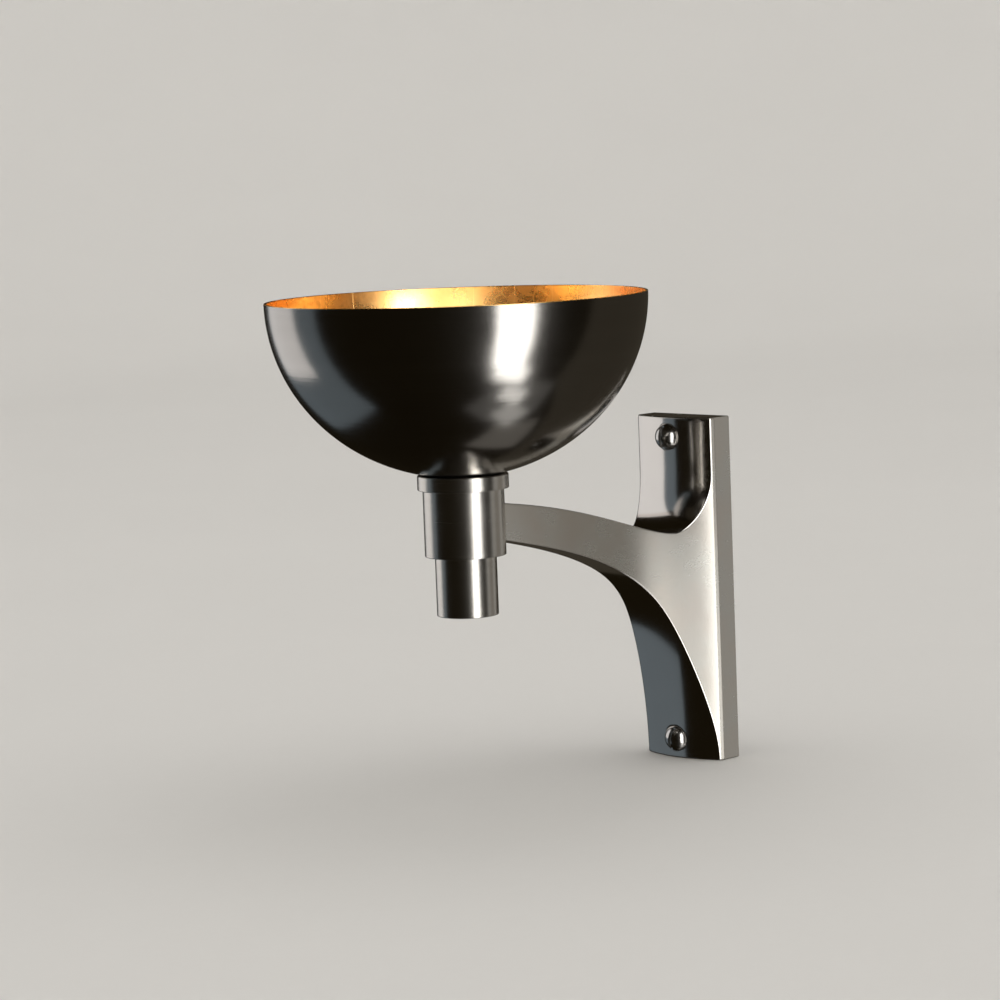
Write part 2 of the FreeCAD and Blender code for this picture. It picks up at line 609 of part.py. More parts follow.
def wall_screw(label, height, turn):
    """A slotted dome-head screw; its own height is its distance from the wall."""
    top = "(%s + screw_head_height)" % SCREW_SEAT
    rim = "(%s + screw_head_rim)" % SCREW_SEAT
    solid = turned(label, [
        ("0", "-screw_protrusion"),
        ("screw_thread_radius - screw_point", "-screw_protrusion"),
        ("screw_thread_radius", "screw_point - screw_protrusion"),
        ("screw_thread_radius", "-screw_thread_start"),
        ("screw_shank_radius", "-screw_thread_start"),
        ("screw_shank_radius", SCREW_SEAT),
        ("screw_head_radius", SCREW_SEAT),
        ("screw_head_radius", rim),
        ("0", top),
    ], {7: ("x", "0", True)})
    facing_room(solid, "0", height)
    slot = doc.addObject("Part::Box", label + "_slot")
    half = "(screw_head_radius + tool_run)"
    bind(slot, "Length", "screw_slot_width")
    bind(slot, "Width", "screw_slot_depth + tool_run")
    bind(slot, "Height", "2 * " + half)
    angle = size(turn)
    lean = FreeCAD.Rotation(Vector(0, 1, 0), angle)
    corner = lean.multVec(Vector(-size("screw_slot_width") / 2, 0, -size(half)))
    corner += Vector(0, -size(top + " + tool_run"), size(height))
    slot.Placement = FreeCAD.Placement(corner, lean)
    return node(cut(label + "_slotted", solid, [slot]), label)


# ---------------------------------------------------------------- cup, collar, sleeve and what joins them

def lamp_cup():
    solid = turned("lamp_cup", [
        (TUBE_HOLE, "cup_base"),
        ("cup_radius - edge_round", "cup_base"),
        ("cup_radius", "cup_base + edge_round"),
        ("cup_radius", CUP_TOP),
        (CUP_BORE, CUP_TOP),
        (CUP_BORE, FLOOR_TOP),
        (TUBE_HOLE, FLOOR_TOP),
    ], {1: ("x", "cup_radius - edge_round", True)})
    on_cup_axis(solid)
    side_hole = rod_outwards("cup_side_hole", TUBE_HOLE, "cup_reach - cup_radius - tool_run", "cup_reach",
                             "0", "nipple_height")
    return node(cut("cup_drilled", solid, [side_hole]), "lamp_cup")


def seat_collar():
    spigot = "(cup_radius - cup_wall - turned_clearance)"
    solid = turned("seat_collar", [
        ("collar_bore", CUP_TOP),
        (spigot + " - spigot_wall", CUP_TOP + " - spigot_taper"),
        (spigot + " - spigot_wall", CUP_TOP + " - spigot_length"),
        (spigot, CUP_TOP + " - spigot_length"),
        (spigot, CUP_TOP),
        ("collar_radius - edge_round", CUP_TOP),
        ("collar_radius", CUP_TOP + " + edge_round"),
        ("collar_radius", SEAT + " - collar_round"),
        ("collar_radius - collar_round", SEAT),
        ("collar_bore", SEAT),
    ], {5: ("x", "collar_radius - edge_round", True), 7: ("x", "collar_radius - collar_round", True)})
    return node(on_cup_axis(solid), "seat_collar")


def lower_sleeve():
    inside = "(sleeve_radius - sleeve_wall)"
    solid = turned("lower_sleeve", [
        ("0", SLEEVE_BASE),
        ("sleeve_radius - edge_round", SLEEVE_BASE),
        ("sleeve_radius", SLEEVE_BASE + " + edge_round"),
        ("sleeve_radius", "cup_base"),
        (inside, "cup_base"),
        (inside, SLEEVE_BASE + " + sleeve_floor"),
        ("sleeve_boss_radius", SLEEVE_BASE + " + sleeve_floor"),
        ("sleeve_boss_radius", SLEEVE_BASE + " + sleeve_boss_height"),
        (TUBE_HOLE, SLEEVE_BASE + " + sleeve_boss_height"),
        (TUBE_HOLE, SLEEVE_BASE + " + sleeve_thread_floor"),
        ("0", SLEEVE_BASE + " + sleeve_thread_floor"),
    ], {1: ("x", "sleeve_radius - edge_round", True)})
    return node(on_cup_axis(solid), "lower_sleeve")


def threaded_tube(label, start, end):
    """A hollow threaded tube with chamfered ends, along its own height."""
    return turned(label, [
        ("tube_bore", start),
        ("tube_radius - tube_chamfer", start),
        ("tube_radius", start + " + tube_chamfer"),
        ("tube_radius", end + " - tube_chamfer"),
        ("tube_radius - tube_chamfer", end),
        ("tube_bore", end),
    ])


def stem_rod():
    low = "(cup_base - sleeve_length + sleeve_thread_floor + tool_run)"
    return node(on_cup_axis(threaded_tube("stem_rod", low, STEM_TOP)), "stem_rod")


def arm_joint():
    """The nipple that carries the cup on the arm, with its shaped washer and its nut."""
    nipple = threaded_tube("arm_nipple", "(cup_reach - cup_radius - nipple_grip)", NIPPLE_END)
    node(facing_room(nipple, "0", "nipple_height"), "arm_nipple")
    pad = rod_outwards("saddle_pad", "saddle_radius", "cup_reach - cup_radius", SADDLE_FLAT,
                       "0", "nipple_height")
    inside = cylinder("saddle_inside", CUP_BORE + " - turned_clearance", "cup_length",
                      "0", AXIS_Y, "cup_base")
    hole = rod_outwards("saddle_hole", TUBE_HOLE, "cup_reach - cup_radius", "cup_reach",
                        "0", "nipple_height")
    node(cut("saddle_drilled", common("saddle_shaped", pad, inside), [hole]), "saddle_washer")
    prism = doc.addObject("Part::Prism", "arm_nut_prism")
    prism.Polygon = 6
    bind(prism, "Circumradius", "thin_nut_flats / sqrt(3)")
    bind(prism, "Height", "thin_nut_height")
    place(prism, "0", "-" + SADDLE_FLAT, "nipple_height", (1, 0, 0), 90)
    nut_hole = rod_outwards("arm_nut_hole", TUBE_HOLE, "cup_reach - cup_radius", "cup_reach",
                            "0", "nipple_height")
    node(cut("arm_nut_cut", prism, [nut_hole]), "arm_nipple_nut")


def floor_lock_washer():
    """A ring whose outer edge is notched into teeth."""
    body = doc.addObject("PartDesign::Body", "lock_washer_body")
    ring = body_sketch(body, "lock_washer_ring", "XY_Plane")
    for radius in ("lock_washer_radius", "tube_radius + lock_washer_clearance"):
        index = ring.addGeometry(Part.Circle(Vector(0, 0, 0), Vector(0, 0, 1), size(radius)), False)
        ring.addConstraint(Sketcher.Constraint("Coincident", index, 3, -1, 1))
        limit = ring.addConstraint(Sketcher.Constraint("Radius", index, size(radius)))
        bind(ring, "Constraints[%d]" % limit, radius)
    pad = body.newObject("PartDesign::Pad", "lock_washer_pad")
    pad.Profile = ring
    bind(pad, "Length", "lock_washer_thickness")
    notch = body_sketch(body, "lock_washer_notch_outline", "XY_Plane")
    inner, outer = "(lock_washer_radius - lock_washer_notch)", "(lock_washer_radius + tool_run)"
    half = "(lock_washer_notch / 2)"
    add_outline(notch, [(inner, "-" + half), (outer, "-" + half), (outer, half), (inner, half)])
    doc.recompute()
    pocket = body.newObject("PartDesign::Pocket", "lock_washer_notch_cut")
    pocket.Profile = notch
    pocket.Type = "ThroughAll"
    pocket.Midplane = True
    teeth = body.newObject("PartDesign::PolarPattern", "lock_washer_teeth_pattern")
    teeth.Originals = [pocket]
    teeth.Axis = (notch, ["N_Axis"])
    teeth.Angle = 360
    teeth.Occurrences = int(size("lock_washer_teeth"))
    body.Tip = teeth
    place(body, "0", AXIS_Y, FLOOR_TOP)
    return node(body, "floor_lock_washer")


# ---------------------------------------------------------------- lampholder

def holder_bridge():
    """A steel strip bent into a hat shape, clamped on the stem rod, with a foot under each side."""
    outside, inside = "bridge_half_span", "(bridge_half_span - bridge_thickness)"
    foot_end = "(bridge_screw_reach + small_head_radius)"
    corners = [(foot_end, "holder_base"), (inside, "holder_base"), (inside, BRIDGE_TOP)]
    corners += [("-" + x, z) for x, z in reversed(corners)]
    under = [(outside, "bridge_height"), (outside, BRIDGE_FOOT), (foot_end, BRIDGE_FOOT)]
    corners += [("-" + x, z) for x, z in reversed(under)] + under
    body = doc.addObject("PartDesign::Body", "holder_bridge_body")
    sketch = body_sketch(body, "holder_bridge_side", "XZ_Plane")
    add_outline(sketch, corners)
    pad = body.newObject("PartDesign::Pad", "holder_bridge_pad")
    pad.Profile = sketch
    pad.Midplane = True
    bind(pad, "Length", "bridge_width")
    on_cup_axis(body)
    through = "bridge_thickness + 2 * tool_run"
    holes = [cylinder("bridge_stem_hole", TUBE_HOLE, through, "0", AXIS_Y, "bridge_height - tool_run")]
    for side, sign in (("left", "-"), ("right", "")):
        holes.append(cylinder("bridge_%s_hole" % side, SMALL_HOLE, through,
                              sign + "bridge_screw_reach", AXIS_Y, BRIDGE_FOOT + " - tool_run"))
    return node(cut("bridge_drilled", body, holes), "holder_bridge")


def small_screw(name, x, y, z, length, axis=(0, 0, 1), angle=0.0, head_radius="small_head_radius",
                head_height="small_head_height", shank_radius="small_screw_radius"):
    """A pan-head screw: its head's seat is at the given place, and its shank runs along its own +Z."""
    solid = turned(name, [
        ("0", "-" + head_height), (head_radius + " - head_chamfer", "-" + head_height),
        (head_radius, "head_chamfer - " + head_height), (head_radius, "0"),
        (shank_radius, "0"), (shank_radius, length), ("0", length),
    ])
    return place(solid, x, y, z, axis, angle)


def bridge_screws():
    screws = [small_screw("bridge_screw_" + side, sign + "bridge_screw_reach", AXIS_Y, BRIDGE_FOOT,
                          "bridge_screw_length")
              for side, sign in (("left", "-"), ("right", ""))]
    return node(grouped("bridge_screw_pair", screws), "bridge_screws")


def lampholder_body():
    bore = "(shell_bore + shell_wall + turned_clearance)"
    solid = turned("lampholder_body", [
        ("0", "holder_base"),
        ("holder_radius - edge_round", "holder_base"),
        ("holder_radius", "holder_base + edge_round"),
        ("holder_radius", HOLDER_TOP + " - holder_lip_round"),
        ("holder_radius - holder_lip_round", HOLDER_TOP),
        (bore + " + holder_lip_round", HOLDER_TOP),
        (bore, HOLDER_TOP + " - holder_lip_round"),
        (bore, HOLDER_BOTTOM_INSIDE),
        ("0", HOLDER_BOTTOM_INSIDE),
    ], {1: ("x", "holder_radius - edge_round", True), 3: ("x", "holder_radius - holder_lip_round", True)})
    on_cup_axis(solid)
    holes = [cylinder("holder_%s_hole" % side, SMALL_HOLE, "bridge_screw_length + tool_run",
                      sign + "bridge_screw_reach", AXIS_Y, "holder_base - tool_run")
             for side, sign in (("left", "-"), ("right", ""))]
    return node(cut("holder_drilled", solid, holes), "lampholder_body")


def lampholder_shell():
    outside = "(shell_bore + shell_wall)"
    solid = turned("lampholder_shell", [
        ("shell_bore - shell_rim", HOLDER_BOTTOM_INSIDE),
        (outside, HOLDER_BOTTOM_INSIDE),
        (outside, HOLDER_BOTTOM_INSIDE + " + shell_height"),
        ("shell_bore", HOLDER_BOTTOM_INSIDE + " + shell_height"),
        ("shell_bore", HOLDER_BOTTOM_INSIDE + " + shell_wall"),
        ("shell_bore - shell_rim", HOLDER_BOTTOM_INSIDE + " + shell_wall"),
    ])
    return node(on_cup_axis(solid), "lampholder_shell")


def centre_contact():
    """A sprung strip folded back over its own foot."""
    foot, tip = HOLDER_BOTTOM_INSIDE, "(holder_base + holder_floor + contact_height)"
    long_end, fold = "contact_half_length", "(contact_half_length - contact_strip * 1.5)"
    body = doc.addObject("PartDesign::Body", "centre_contact_body")
    sketch = body_sketch(body, "centre_contact_side", "XZ_Plane")
    add_outline(sketch, [
        ("-" + long_end, foot),
        (long_end + " - contact_strip", foot),
        (long_end, foot + " + contact_strip"),
        (long_end, foot + " + contact_strip * 1.6"),
        ("contact_half_length / 4", tip),
        ("-contact_half_length / 4", tip),
        ("-contact_half_length / 4", tip + " - contact_strip"),
        ("contact_half_length / 5", tip + " - contact_strip"),
        (fold, foot + " + contact_strip"),
        ("-" + long_end, foot + " + contact_strip"),
    ])
    pad = body.newObject("PartDesign::Pad", "centre_contact_pad")
    pad.Profile = sketch
    pad.Midplane = True
    bind(pad, "Length", "contact_width")
    return node(on_cup_axis(body), "centre_contact")


def holder_terminals():
    """One brass block under each side of the lampholder, with a wire's hole from below."""
    blocks, screws = [], []
    half = "(terminal_width / 2)"
    reach_in, reach_out = "terminal_inner_reach", "(terminal_inner_reach + terminal_length)"
    middle = "(terminal_inner_reach + terminal_length / 2)"
    screw_height = TERMINAL_BASE + " + wire_hole_depth / 2"
    for side, to_wall in (("near", True), ("far", False)):
        sign = "+" if to_wall else "-"
        low, high = (reach_in, reach_out) if to_wall else ("-" + reach_out, "-" + reach_in)
        brass = block("terminal_%s_block" % side, "-" + half, half,
                      AXIS_Y + " + " + low, AXIS_Y + " + " + high, TERMINAL_BASE, "holder_base")
        wire_hole = cylinder("terminal_%s_wire_hole" % side, WIRE_HOLE, "wire_hole_depth + tool_run",
                             "0", AXIS_Y + sign + middle, TERMINAL_BASE + " - tool_run")
        turn = 90 if to_wall else -90
        outer_y = AXIS_Y + sign + reach_out
        screw_hole = cylinder("terminal_%s_screw_hole" % side, SMALL_HOLE, "terminal_length / 2",
                              "0", outer_y, screw_height, (1, 0, 0), turn)
        blocks.append(cut("terminal_%s_drilled" % side, brass, [wire_hole, screw_hole]))
        grip = "(terminal_length / 2 - %s)" % WIRE_HOLE
        screws.append(small_screw("terminal_%s_screw" % side, "0", outer_y, screw_height, grip,
                                  (1, 0, 0), turn))
    node(grouped("terminal_blocks", blocks), "holder_terminals")
    node(grouped("terminal_block_screws", screws), "holder_terminal_screws")


def shade_ring():
    bore = "(holder_radius + turned_clearance)"
    outside = "(holder_radius + turned_clearance + shade_ring_wall)"
    solid = turned("shade_ring", [
        (bore, SEAT_INSIDE),
        ("shade_flange_radius", SEAT_INSIDE),
        ("shade_flange_radius", SEAT_INSIDE + " + shade_flange_height - edge_round"),
        ("shade_flange_radius - edge_round", SEAT_INSIDE + " + shade_flange_height"),
        (outside, SEAT_INSIDE + " + shade_flange_height"),
        (outside, SEAT_INSIDE + " + shade_ring_height - edge_round"),
        (outside + " - edge_round", SEAT_INSIDE + " + shade_ring_height"),
        (bore, SEAT_INSIDE + " + shade_ring_height"),
    ])
    return node(on_cup_axis(solid), "shade_ring")


# ---------------------------------------------------------------- bowl and lamp

def revolved_face(label, edges):
    """A face in the plane through the cup axis, revolved about that axis."""
    face = doc.addObject("Part::Feature", label + "_face")
    face.Shape = Part.Face(Part.Wire(Part.sortEdges(edges)[0]))
    turning = doc.addObject("Part::Revolution", label + "_turning")
    turning.Source = face
    turning.Axis = (0, 0, 1)
    turning.Angle = 360
    turning.Solid = True
    bind(turning, "Base.y", AXIS_Y)
    return node(turning, label)


def axis_point(radius, height):
    return Vector(radius, size(AXIS_Y), height)


def oval_arc(radius, depth, rim, low_radius, low_height):
    """The quarter of an oval from the rim down to where it meets a lower height."""
    centre = axis_point(0, rim)
    ends = [centre + Vector(radius, 0, 0), centre - Vector(0, 0, depth)]
    longer, shorter = ends if radius > depth else ends[::-1]
    oval = Part.Ellipse(longer, shorter, centre)
    start = oval.parameter(axis_point(radius, rim))
    end = oval.parameter(axis_point(low_radius, low_height))
    return Part.ArcOfEllipse(oval, min(start, end), max(start, end)).toShape()


def bowl():
    """A spun bowl of even wall: two ovals, a flat seat below and a hole for the lampholder."""
    rim, seat = size(RIM), size(SEAT)
    wall = size("bowl_wall")
    outer_radius, outer_depth = size("bowl_radius"), size("bowl_form_depth")
    inner_radius, inner_depth = outer_radius - wall, outer_depth - wall
    hole = size("holder_radius + bowl_hole_clearance")
    flat_outside = outer_radius * math.sqrt(1 - ((rim - seat) / outer_depth) ** 2)
    flat_inside = inner_radius * math.sqrt(1 - ((rim - seat - wall) / inner_depth) ** 2)
    corners = [axis_point(flat_outside, seat), axis_point(hole, seat),
               axis_point(hole, seat + wall), axis_point(flat_inside, seat + wall)]
    edges = [Part.LineSegment(a, b).toShape() for a, b in zip(corners, corners[1:])]
    edges.append(oval_arc(inner_radius, inner_depth, rim, flat_inside, seat + wall))
    edges.append(Part.LineSegment(axis_point(inner_radius, rim), axis_point(outer_radius, rim)).toShape())
    edges.append(oval_arc(outer_radius, outer_depth, rim, flat_outside, seat))
    return revolved_face("bowl", edges)


def globe_wall(centre, radius, neck):
    """Half of the globe's outline, from its top to the bottom of its neck."""
    angle = math.radians(size("neck_blend_angle"))
    joint = axis_point(radius * math.sin(angle), centre - radius * math.cos(angle))
    side = axis_point(radius, centre)
    top = axis_point(0, centre + radius)
    neck_top = joint.z - size("neck_blend_drop")
    handle = axis_point(neck, joint.z - (joint.x - neck) * math.tan(angle))
    blend = Part.BezierCurve()
    blend.setPoles([joint, handle, axis_point(neck, neck_top)])
    foot = size("lamp_base + cap_skirt_end - cap_lip")
    return [Part.Arc(top, side, joint).toShape(), blend.toShape(),
            Part.LineSegment(axis_point(neck, neck_top), axis_point(neck, foot)).toShape()]


def bulb_globe():
    """The lamp's glass: a sphere that runs down into a neck held in the cap."""
    centre = size("lamp_base + lamp_length - globe_radius")
    radius, glass, neck = size("globe_radius"), size("globe_glass"), size("neck_radius")
    edges = globe_wall(centre, radius, neck) + globe_wall(centre, radius - glass, neck - glass)
    foot = size("lamp_base + cap_skirt_end - cap_lip")
    top = centre + radius
    edges.append(Part.LineSegment(axis_point(neck, foot), axis_point(neck - glass, foot)).toShape())
    edges.append(Part.LineSegment(axis_point(0, top), axis_point(0, top - glass)).toShape())
    return revolved_face("bulb_globe", edges)


def bulb_cap():
    """The lamp's screw cap: a plain sleeve at the thread's outside radius, widened at its top."""
    solid = turned("bulb_cap", [
        ("cap_radius - cap_wall", "lamp_base + cap_start"),
        ("cap_radius", "lamp_base + cap_start"),
        ("cap_radius", "lamp_base + cap_skirt_start"),
        ("cap_skirt_radius", "lamp_base + cap_skirt_end - cap_lip + cap_wall / 2"),
        ("cap_skirt_radius", "lamp_base + cap_skirt_end"),
        ("neck_radius + small_clearance", "lamp_base + cap_skirt_end"),
        ("neck_radius + small_clearance", "lamp_base + cap_skirt_end - cap_lip"),
        ("cap_radius - cap_wall", "lamp_base + cap_skirt_end - cap_lip - cap_wall"),
    ])
    return node(on_cup_axis(solid), "bulb_cap")


def bulb_end():
    contact = turned("bulb_contact", [
        ("0", "lamp_base"), ("tip_radius - tip_chamfer", "lamp_base"),
        ("tip_radius", "lamp_base + tip_chamfer"),
        ("tip_radius", "lamp_base + tip_height"), ("0", "lamp_base + tip_height"),
    ])
    node(on_cup_axis(contact), "bulb_contact")
    insulator = turned("bulb_insulator", [
        ("0", "lamp_base + tip_height"),
        ("tip_radius + insulator_land", "lamp_base + tip_height"),
        ("cap_radius - cap_wall", "lamp_base + cap_start"),
        ("cap_radius - cap_wall", INSULATOR_TOP),
        ("0", INSULATOR_TOP),
    ])
    node(on_cup_axis(insulator), "bulb_insulator")


def bulb_inside():
    """The glass stem stands in the neck and carries the filament on two arched arms."""
    top = "(lamp_base + filament_height - filament_rise)"
    foot = "(cap_radius - 2 * cap_wall)"
    stem = turned("bulb_stem", [
        ("0", INSULATOR_TOP), (foot, INSULATOR_TOP), (foot, INSULATOR_TOP + " + stem_foot_height"),
        ("stem_glass_radius", INSULATOR_TOP + " + stem_foot_height + stem_shoulder"),
        ("stem_glass_radius / 2", top), ("0", top),
    ])
    node(on_cup_axis(stem), "bulb_stem")
    span, rise = size("filament_half_span"), size("filament_rise")
    base, thickness = size(top), size("filament_radius")
    right = [axis_point(2 * thickness, base), axis_point(2 * thickness, base + rise / 4),
             axis_point(span, base + rise * 2 / 3), axis_point(span * 0.9, base + rise)]
    left = [axis_point(-point.x, point.z) for point in right]
    points = left + [axis_point(0, base + rise * 3 / 2)] + right[::-1]
    wire_along("bulb_filament", points, thickness, [3 * thickness] * (len(points) - 2))


# ---------------------------------------------------------------- wiring

def terminal_block():
    """A three-pole strip: a moulded block, three brass barrels, and two screws for each barrel."""
    low = "(block_centre_height - block_height / 2)"
    moulded = block("block_moulding", "-block_width / 2", "block_width / 2",
                    "-" + BLOCK_FRONT, "-" + BLOCK_BACK, low, low + " + block_height")
    poles = ("-pole_spacing", "0", "pole_spacing")
    tools, barrels, screws = [], [], []
    barrel_low = "(block_centre_height - barrel_length / 2)"
    for i, x in enumerate(poles):
        tools.append(cylinder("pole_bore_%d" % i, "barrel_radius + small_clearance",
                              "block_height + 2 * tool_run", x, "-" + BLOCK_MIDDLE, low + " - tool_run"))
        brass = cylinder("barrel_%d" % i, "barrel_radius", "barrel_length", x, "-" + BLOCK_MIDDLE, barrel_low)
        barrel_tools = [cylinder("barrel_bore_%d" % i, "barrel_bore", "barrel_length + 2 * tool_run",
                                 x, "-" + BLOCK_MIDDLE, barrel_low + " - tool_run")]
        for j, sign in enumerate(("-", "+")):
            height = "block_centre_height %s barrel_screw_spacing / 2" % sign
            spot = "%d_%d" % (i, j)
            back = BLOCK_BACK + " - tool_run"
            wide = "barrel_screw_radius + barrel_screw_clearance"
            close = "barrel_screw_radius + small_clearance"
            tools.append(rod_outwards("pole_screw_bore_" + spot, wide, back, BLOCK_MIDDLE, x, height))
            barrel_tools.append(
                rod_outwards("barrel_screw_bore_" + spot, close, back, BLOCK_MIDDLE, x, height))
            screws.append(rod_outwards("barrel_screw_" + spot, "barrel_screw_radius",
                                       BLOCK_BACK + " + barrel_screw_recess",
                                       BLOCK_MIDDLE + " - barrel_bore", x, height))
        barrels.append(cut("barrel_cut_%d" % i, brass, barrel_tools))
    tools.append(rod_outwards("block_screw_bore", SMALL_HOLE, BLOCK_BACK + " - tool_run",
                              BLOCK_FRONT + " + tool_run", BLOCK_SCREW_X, "block_centre_height"))
    node(cut("block_cut", moulded, tools), "terminal_block")
    node(grouped("barrel_group", barrels), "terminal_barrels")
    node(grouped("barrel_screw_group", screws), "terminal_screws")
    fixing = small_screw("block_screw_turned", BLOCK_SCREW_X, "-" + BLOCK_BACK, "block_centre_height",
                         "block_depth + block_seat_gap + block_screw_grip", (1, 0, 0), 90)
    node(fixing, "block_screw")


def earth_point():
    """A screw and a ring tag on the cavity's floor; the tag's barrel takes the earth wire from below."""
    tag_back = "(cavity_depth - earth_tag_thickness)"
    screw = small_screw("earth_screw_turned", "earth_screw_x", "-" + tag_back, "earth_screw_height",
                        "earth_tag_thickness + earth_screw_grip", (1, 0, 0), 90,
                        "earth_head_radius", "earth_head_height", "earth_screw_radius")
    node(screw, "earth_screw")
    ring = rod_outwards("tag_ring", "earth_tag_radius", tag_back, "cavity_depth",
                        "earth_screw_x", "earth_screw_height")
    tongue = block("tag_tongue", "earth_screw_x - earth_tongue_width / 2",
                   "earth_screw_x + earth_tongue_width / 2", "-cavity_depth", "-" + tag_back,
                   TAG_BARREL_TOP + " - tag_barrel_length", "earth_screw_height")
    barrel = cylinder("tag_barrel", "tag_barrel_radius", "tag_barrel_length", "earth_screw_x",
                      "tag_barrel_radius - cavity_depth", TAG_BARREL_TOP + " - tag_barrel_length")
    tools = [
        rod_outwards("tag_hole", "earth_screw_radius + small_clearance", "0", "cavity_depth + tool_run",
                     "earth_screw_x", "earth_screw_height"),
        cylinder("tag_wire_hole", WIRE_HOLE, "tag_barrel_length + tool_run", "earth_screw_x",
                 "tag_barrel_radius - cavity_depth", TAG_BARREL_TOP + " - tag_barrel_length - tool_run"),
    ]
    return node(cut("tag_cut", fused("tag_body", [ring, tongue, barrel]), tools), "earth_tag")


def arm_wire_start(side):
    """From a pole of the block up into the wire channel and along it to the nipple. side is -1 or 1."""
    offset = size("wire_offset") * side
    pole_x = -size("pole_spacing") if side < 0 else 0.0
    middle, height = size(BLOCK_MIDDLE), size("nipple_height")
    mouth_depth, mouth_height = size("channel_mouth_depth"), size("channel_mouth_height")
    block_top = size("block_centre_height + block_height / 2")
    bends = [size("wire_bend"), size("tight_wire_bend"), size("wire_bend") * 2]
    points = [Vector(pole_x, -middle, block_top - size("block_height / 2")),
              Vector(pole_x, -middle, (block_top + mouth_height) / 2),
              Vector(offset, -mouth_depth, mouth_height),
              Vector(offset, -size(CHANNEL_END), height)]
    return points, bends


def live_wire():
    """Straight up from the nipple's mouth to the terminal on the near side of the lampholder."""
    terminal = size("cup_reach - terminal_inner_reach - terminal_length / 2")
    tight, height = size("tight_wire_bend"), size("nipple_height")
    points, bends = arm_wire_start(-1)
    points.append(Vector(-size("wire_offset"), -terminal, height))
    points.append(Vector(0, -terminal, size(TERMINAL_BASE) - tight))
    points.append(Vector(0, -terminal, size(TERMINAL_BASE + " + wire_hole_depth")))
    return wire_along("live_wire", points, size("wire_radius"), bends + [tight, size("wire_bend")])


def neutral_wire():
    """Past one side of the stem rod to the terminal on the far side of the lampholder."""
    axis, height = size("cup_reach"), size("nipple_height")
    terminal = size("cup_reach + terminal_inner_reach + terminal_length / 2")
    tight, side = size("tight_wire_bend"), size("(floor_nut_flats + terminal_width) / 2")
    points, bends = arm_wire_start(1)
    points.append(Vector(size("wire_offset"), -size(NIPPLE_END + " + wire_radius * 2"), height))
    points.append(Vector(side, -axis + tight, height - tight))
    points.append(Vector(side * 0.7, -axis - 3 * tight, height))
    points.append(Vector(0, -terminal, size(TERMINAL_BASE) - 3 / 2 * tight))
    points.append(Vector(0, -terminal, size(TERMINAL_BASE + " + wire_hole_depth")))
    return wire_along("neutral_wire", points, size("wire_radius"), bends + [tight, tight, tight, tight])


def earth_wire():
    """Out of the third pole and across the cavity's floor to the tag's barrel."""
    middle, x, tight = size(BLOCK_MIDDLE), size("pole_spacing"), size("tight_wire_bend")
    tag_x, tag_y = size("earth_screw_x"), size("tag_barrel_radius - cavity_depth")
    block_top = size("block_centre_height + block_height / 2")
    points = [Vector(x, -middle, size("block_centre_height")),
              Vector(x, -middle, block_top + tight),
              Vector(x + tight, tag_y, block_top + 2 * tight),
              Vector(tag_x, tag_y, block_top + tight),
              Vector(tag_x, tag_y, size(TAG_BARREL_TOP))]
    return wire_along("earth_wire", points, size("wire_radius"), [tight] * 3)


# ---------------------------------------------------------------- build, check and write

def build_all():
    wall_bracket()
    wall_screw("upper_wall_screw", "screw_spacing / 2", "upper_slot_turn")
    wall_screw("lower_wall_screw", "-screw_spacing / 2", "lower_slot_turn")
    lamp_cup()
    seat_collar()
    lower_sleeve()
    arm_joint()
    stem_rod()
    floor_lock_washer()
    hex_nut("floor_locknut", "floor_nut_flats", "floor_nut_height", FLOOR_NUT_BASE)
    hex_nut("bridge_lower_nut", "thin_nut_flats", "thin_nut_height", "(bridge_height - thin_nut_height)")
    hex_nut("bridge_upper_nut", "thin_nut_flats", "thin_nut_height", BRIDGE_TOP)
    holder_bridge()
    bridge_screws()
    lampholder_body()
    lampholder_shell()
    centre_contact()
    holder_terminals()
    shade_ring()
    bowl()
    bulb_end()
    bulb_cap()
    bulb_globe()
    bulb_inside()
    terminal_block()
    earth_point()
    live_wire()
    neutral_wire()
    earth_wire()


def check_and_write():
    doc.recompute()
    failed = [o.Name for o in doc.Objects if "Invalid" in o.State or "Error" in o.State]
    if failed:
        raise RuntimeError("these objects failed: " + ", ".join(failed))
    for thing in NODES:
        shape = thing.Shape
        if shape.isNull() or not shape.isValid() or not shape.Solids:
            raise RuntimeError("the shape of %s is not sound" % thing.Label)
    os.makedirs("parts", exist_ok=True)
    for thing in NODES:
        thing.Shape.exportStep("parts/%s.step" % thing.Label)
        print("%-24s solids %d, volume %.1f" % (thing.Label, len(thing.Shape.Solids), thing.Shape.Volume))
    print("%d sub-parts" % len(NODES))


build_all()
check_and_write()
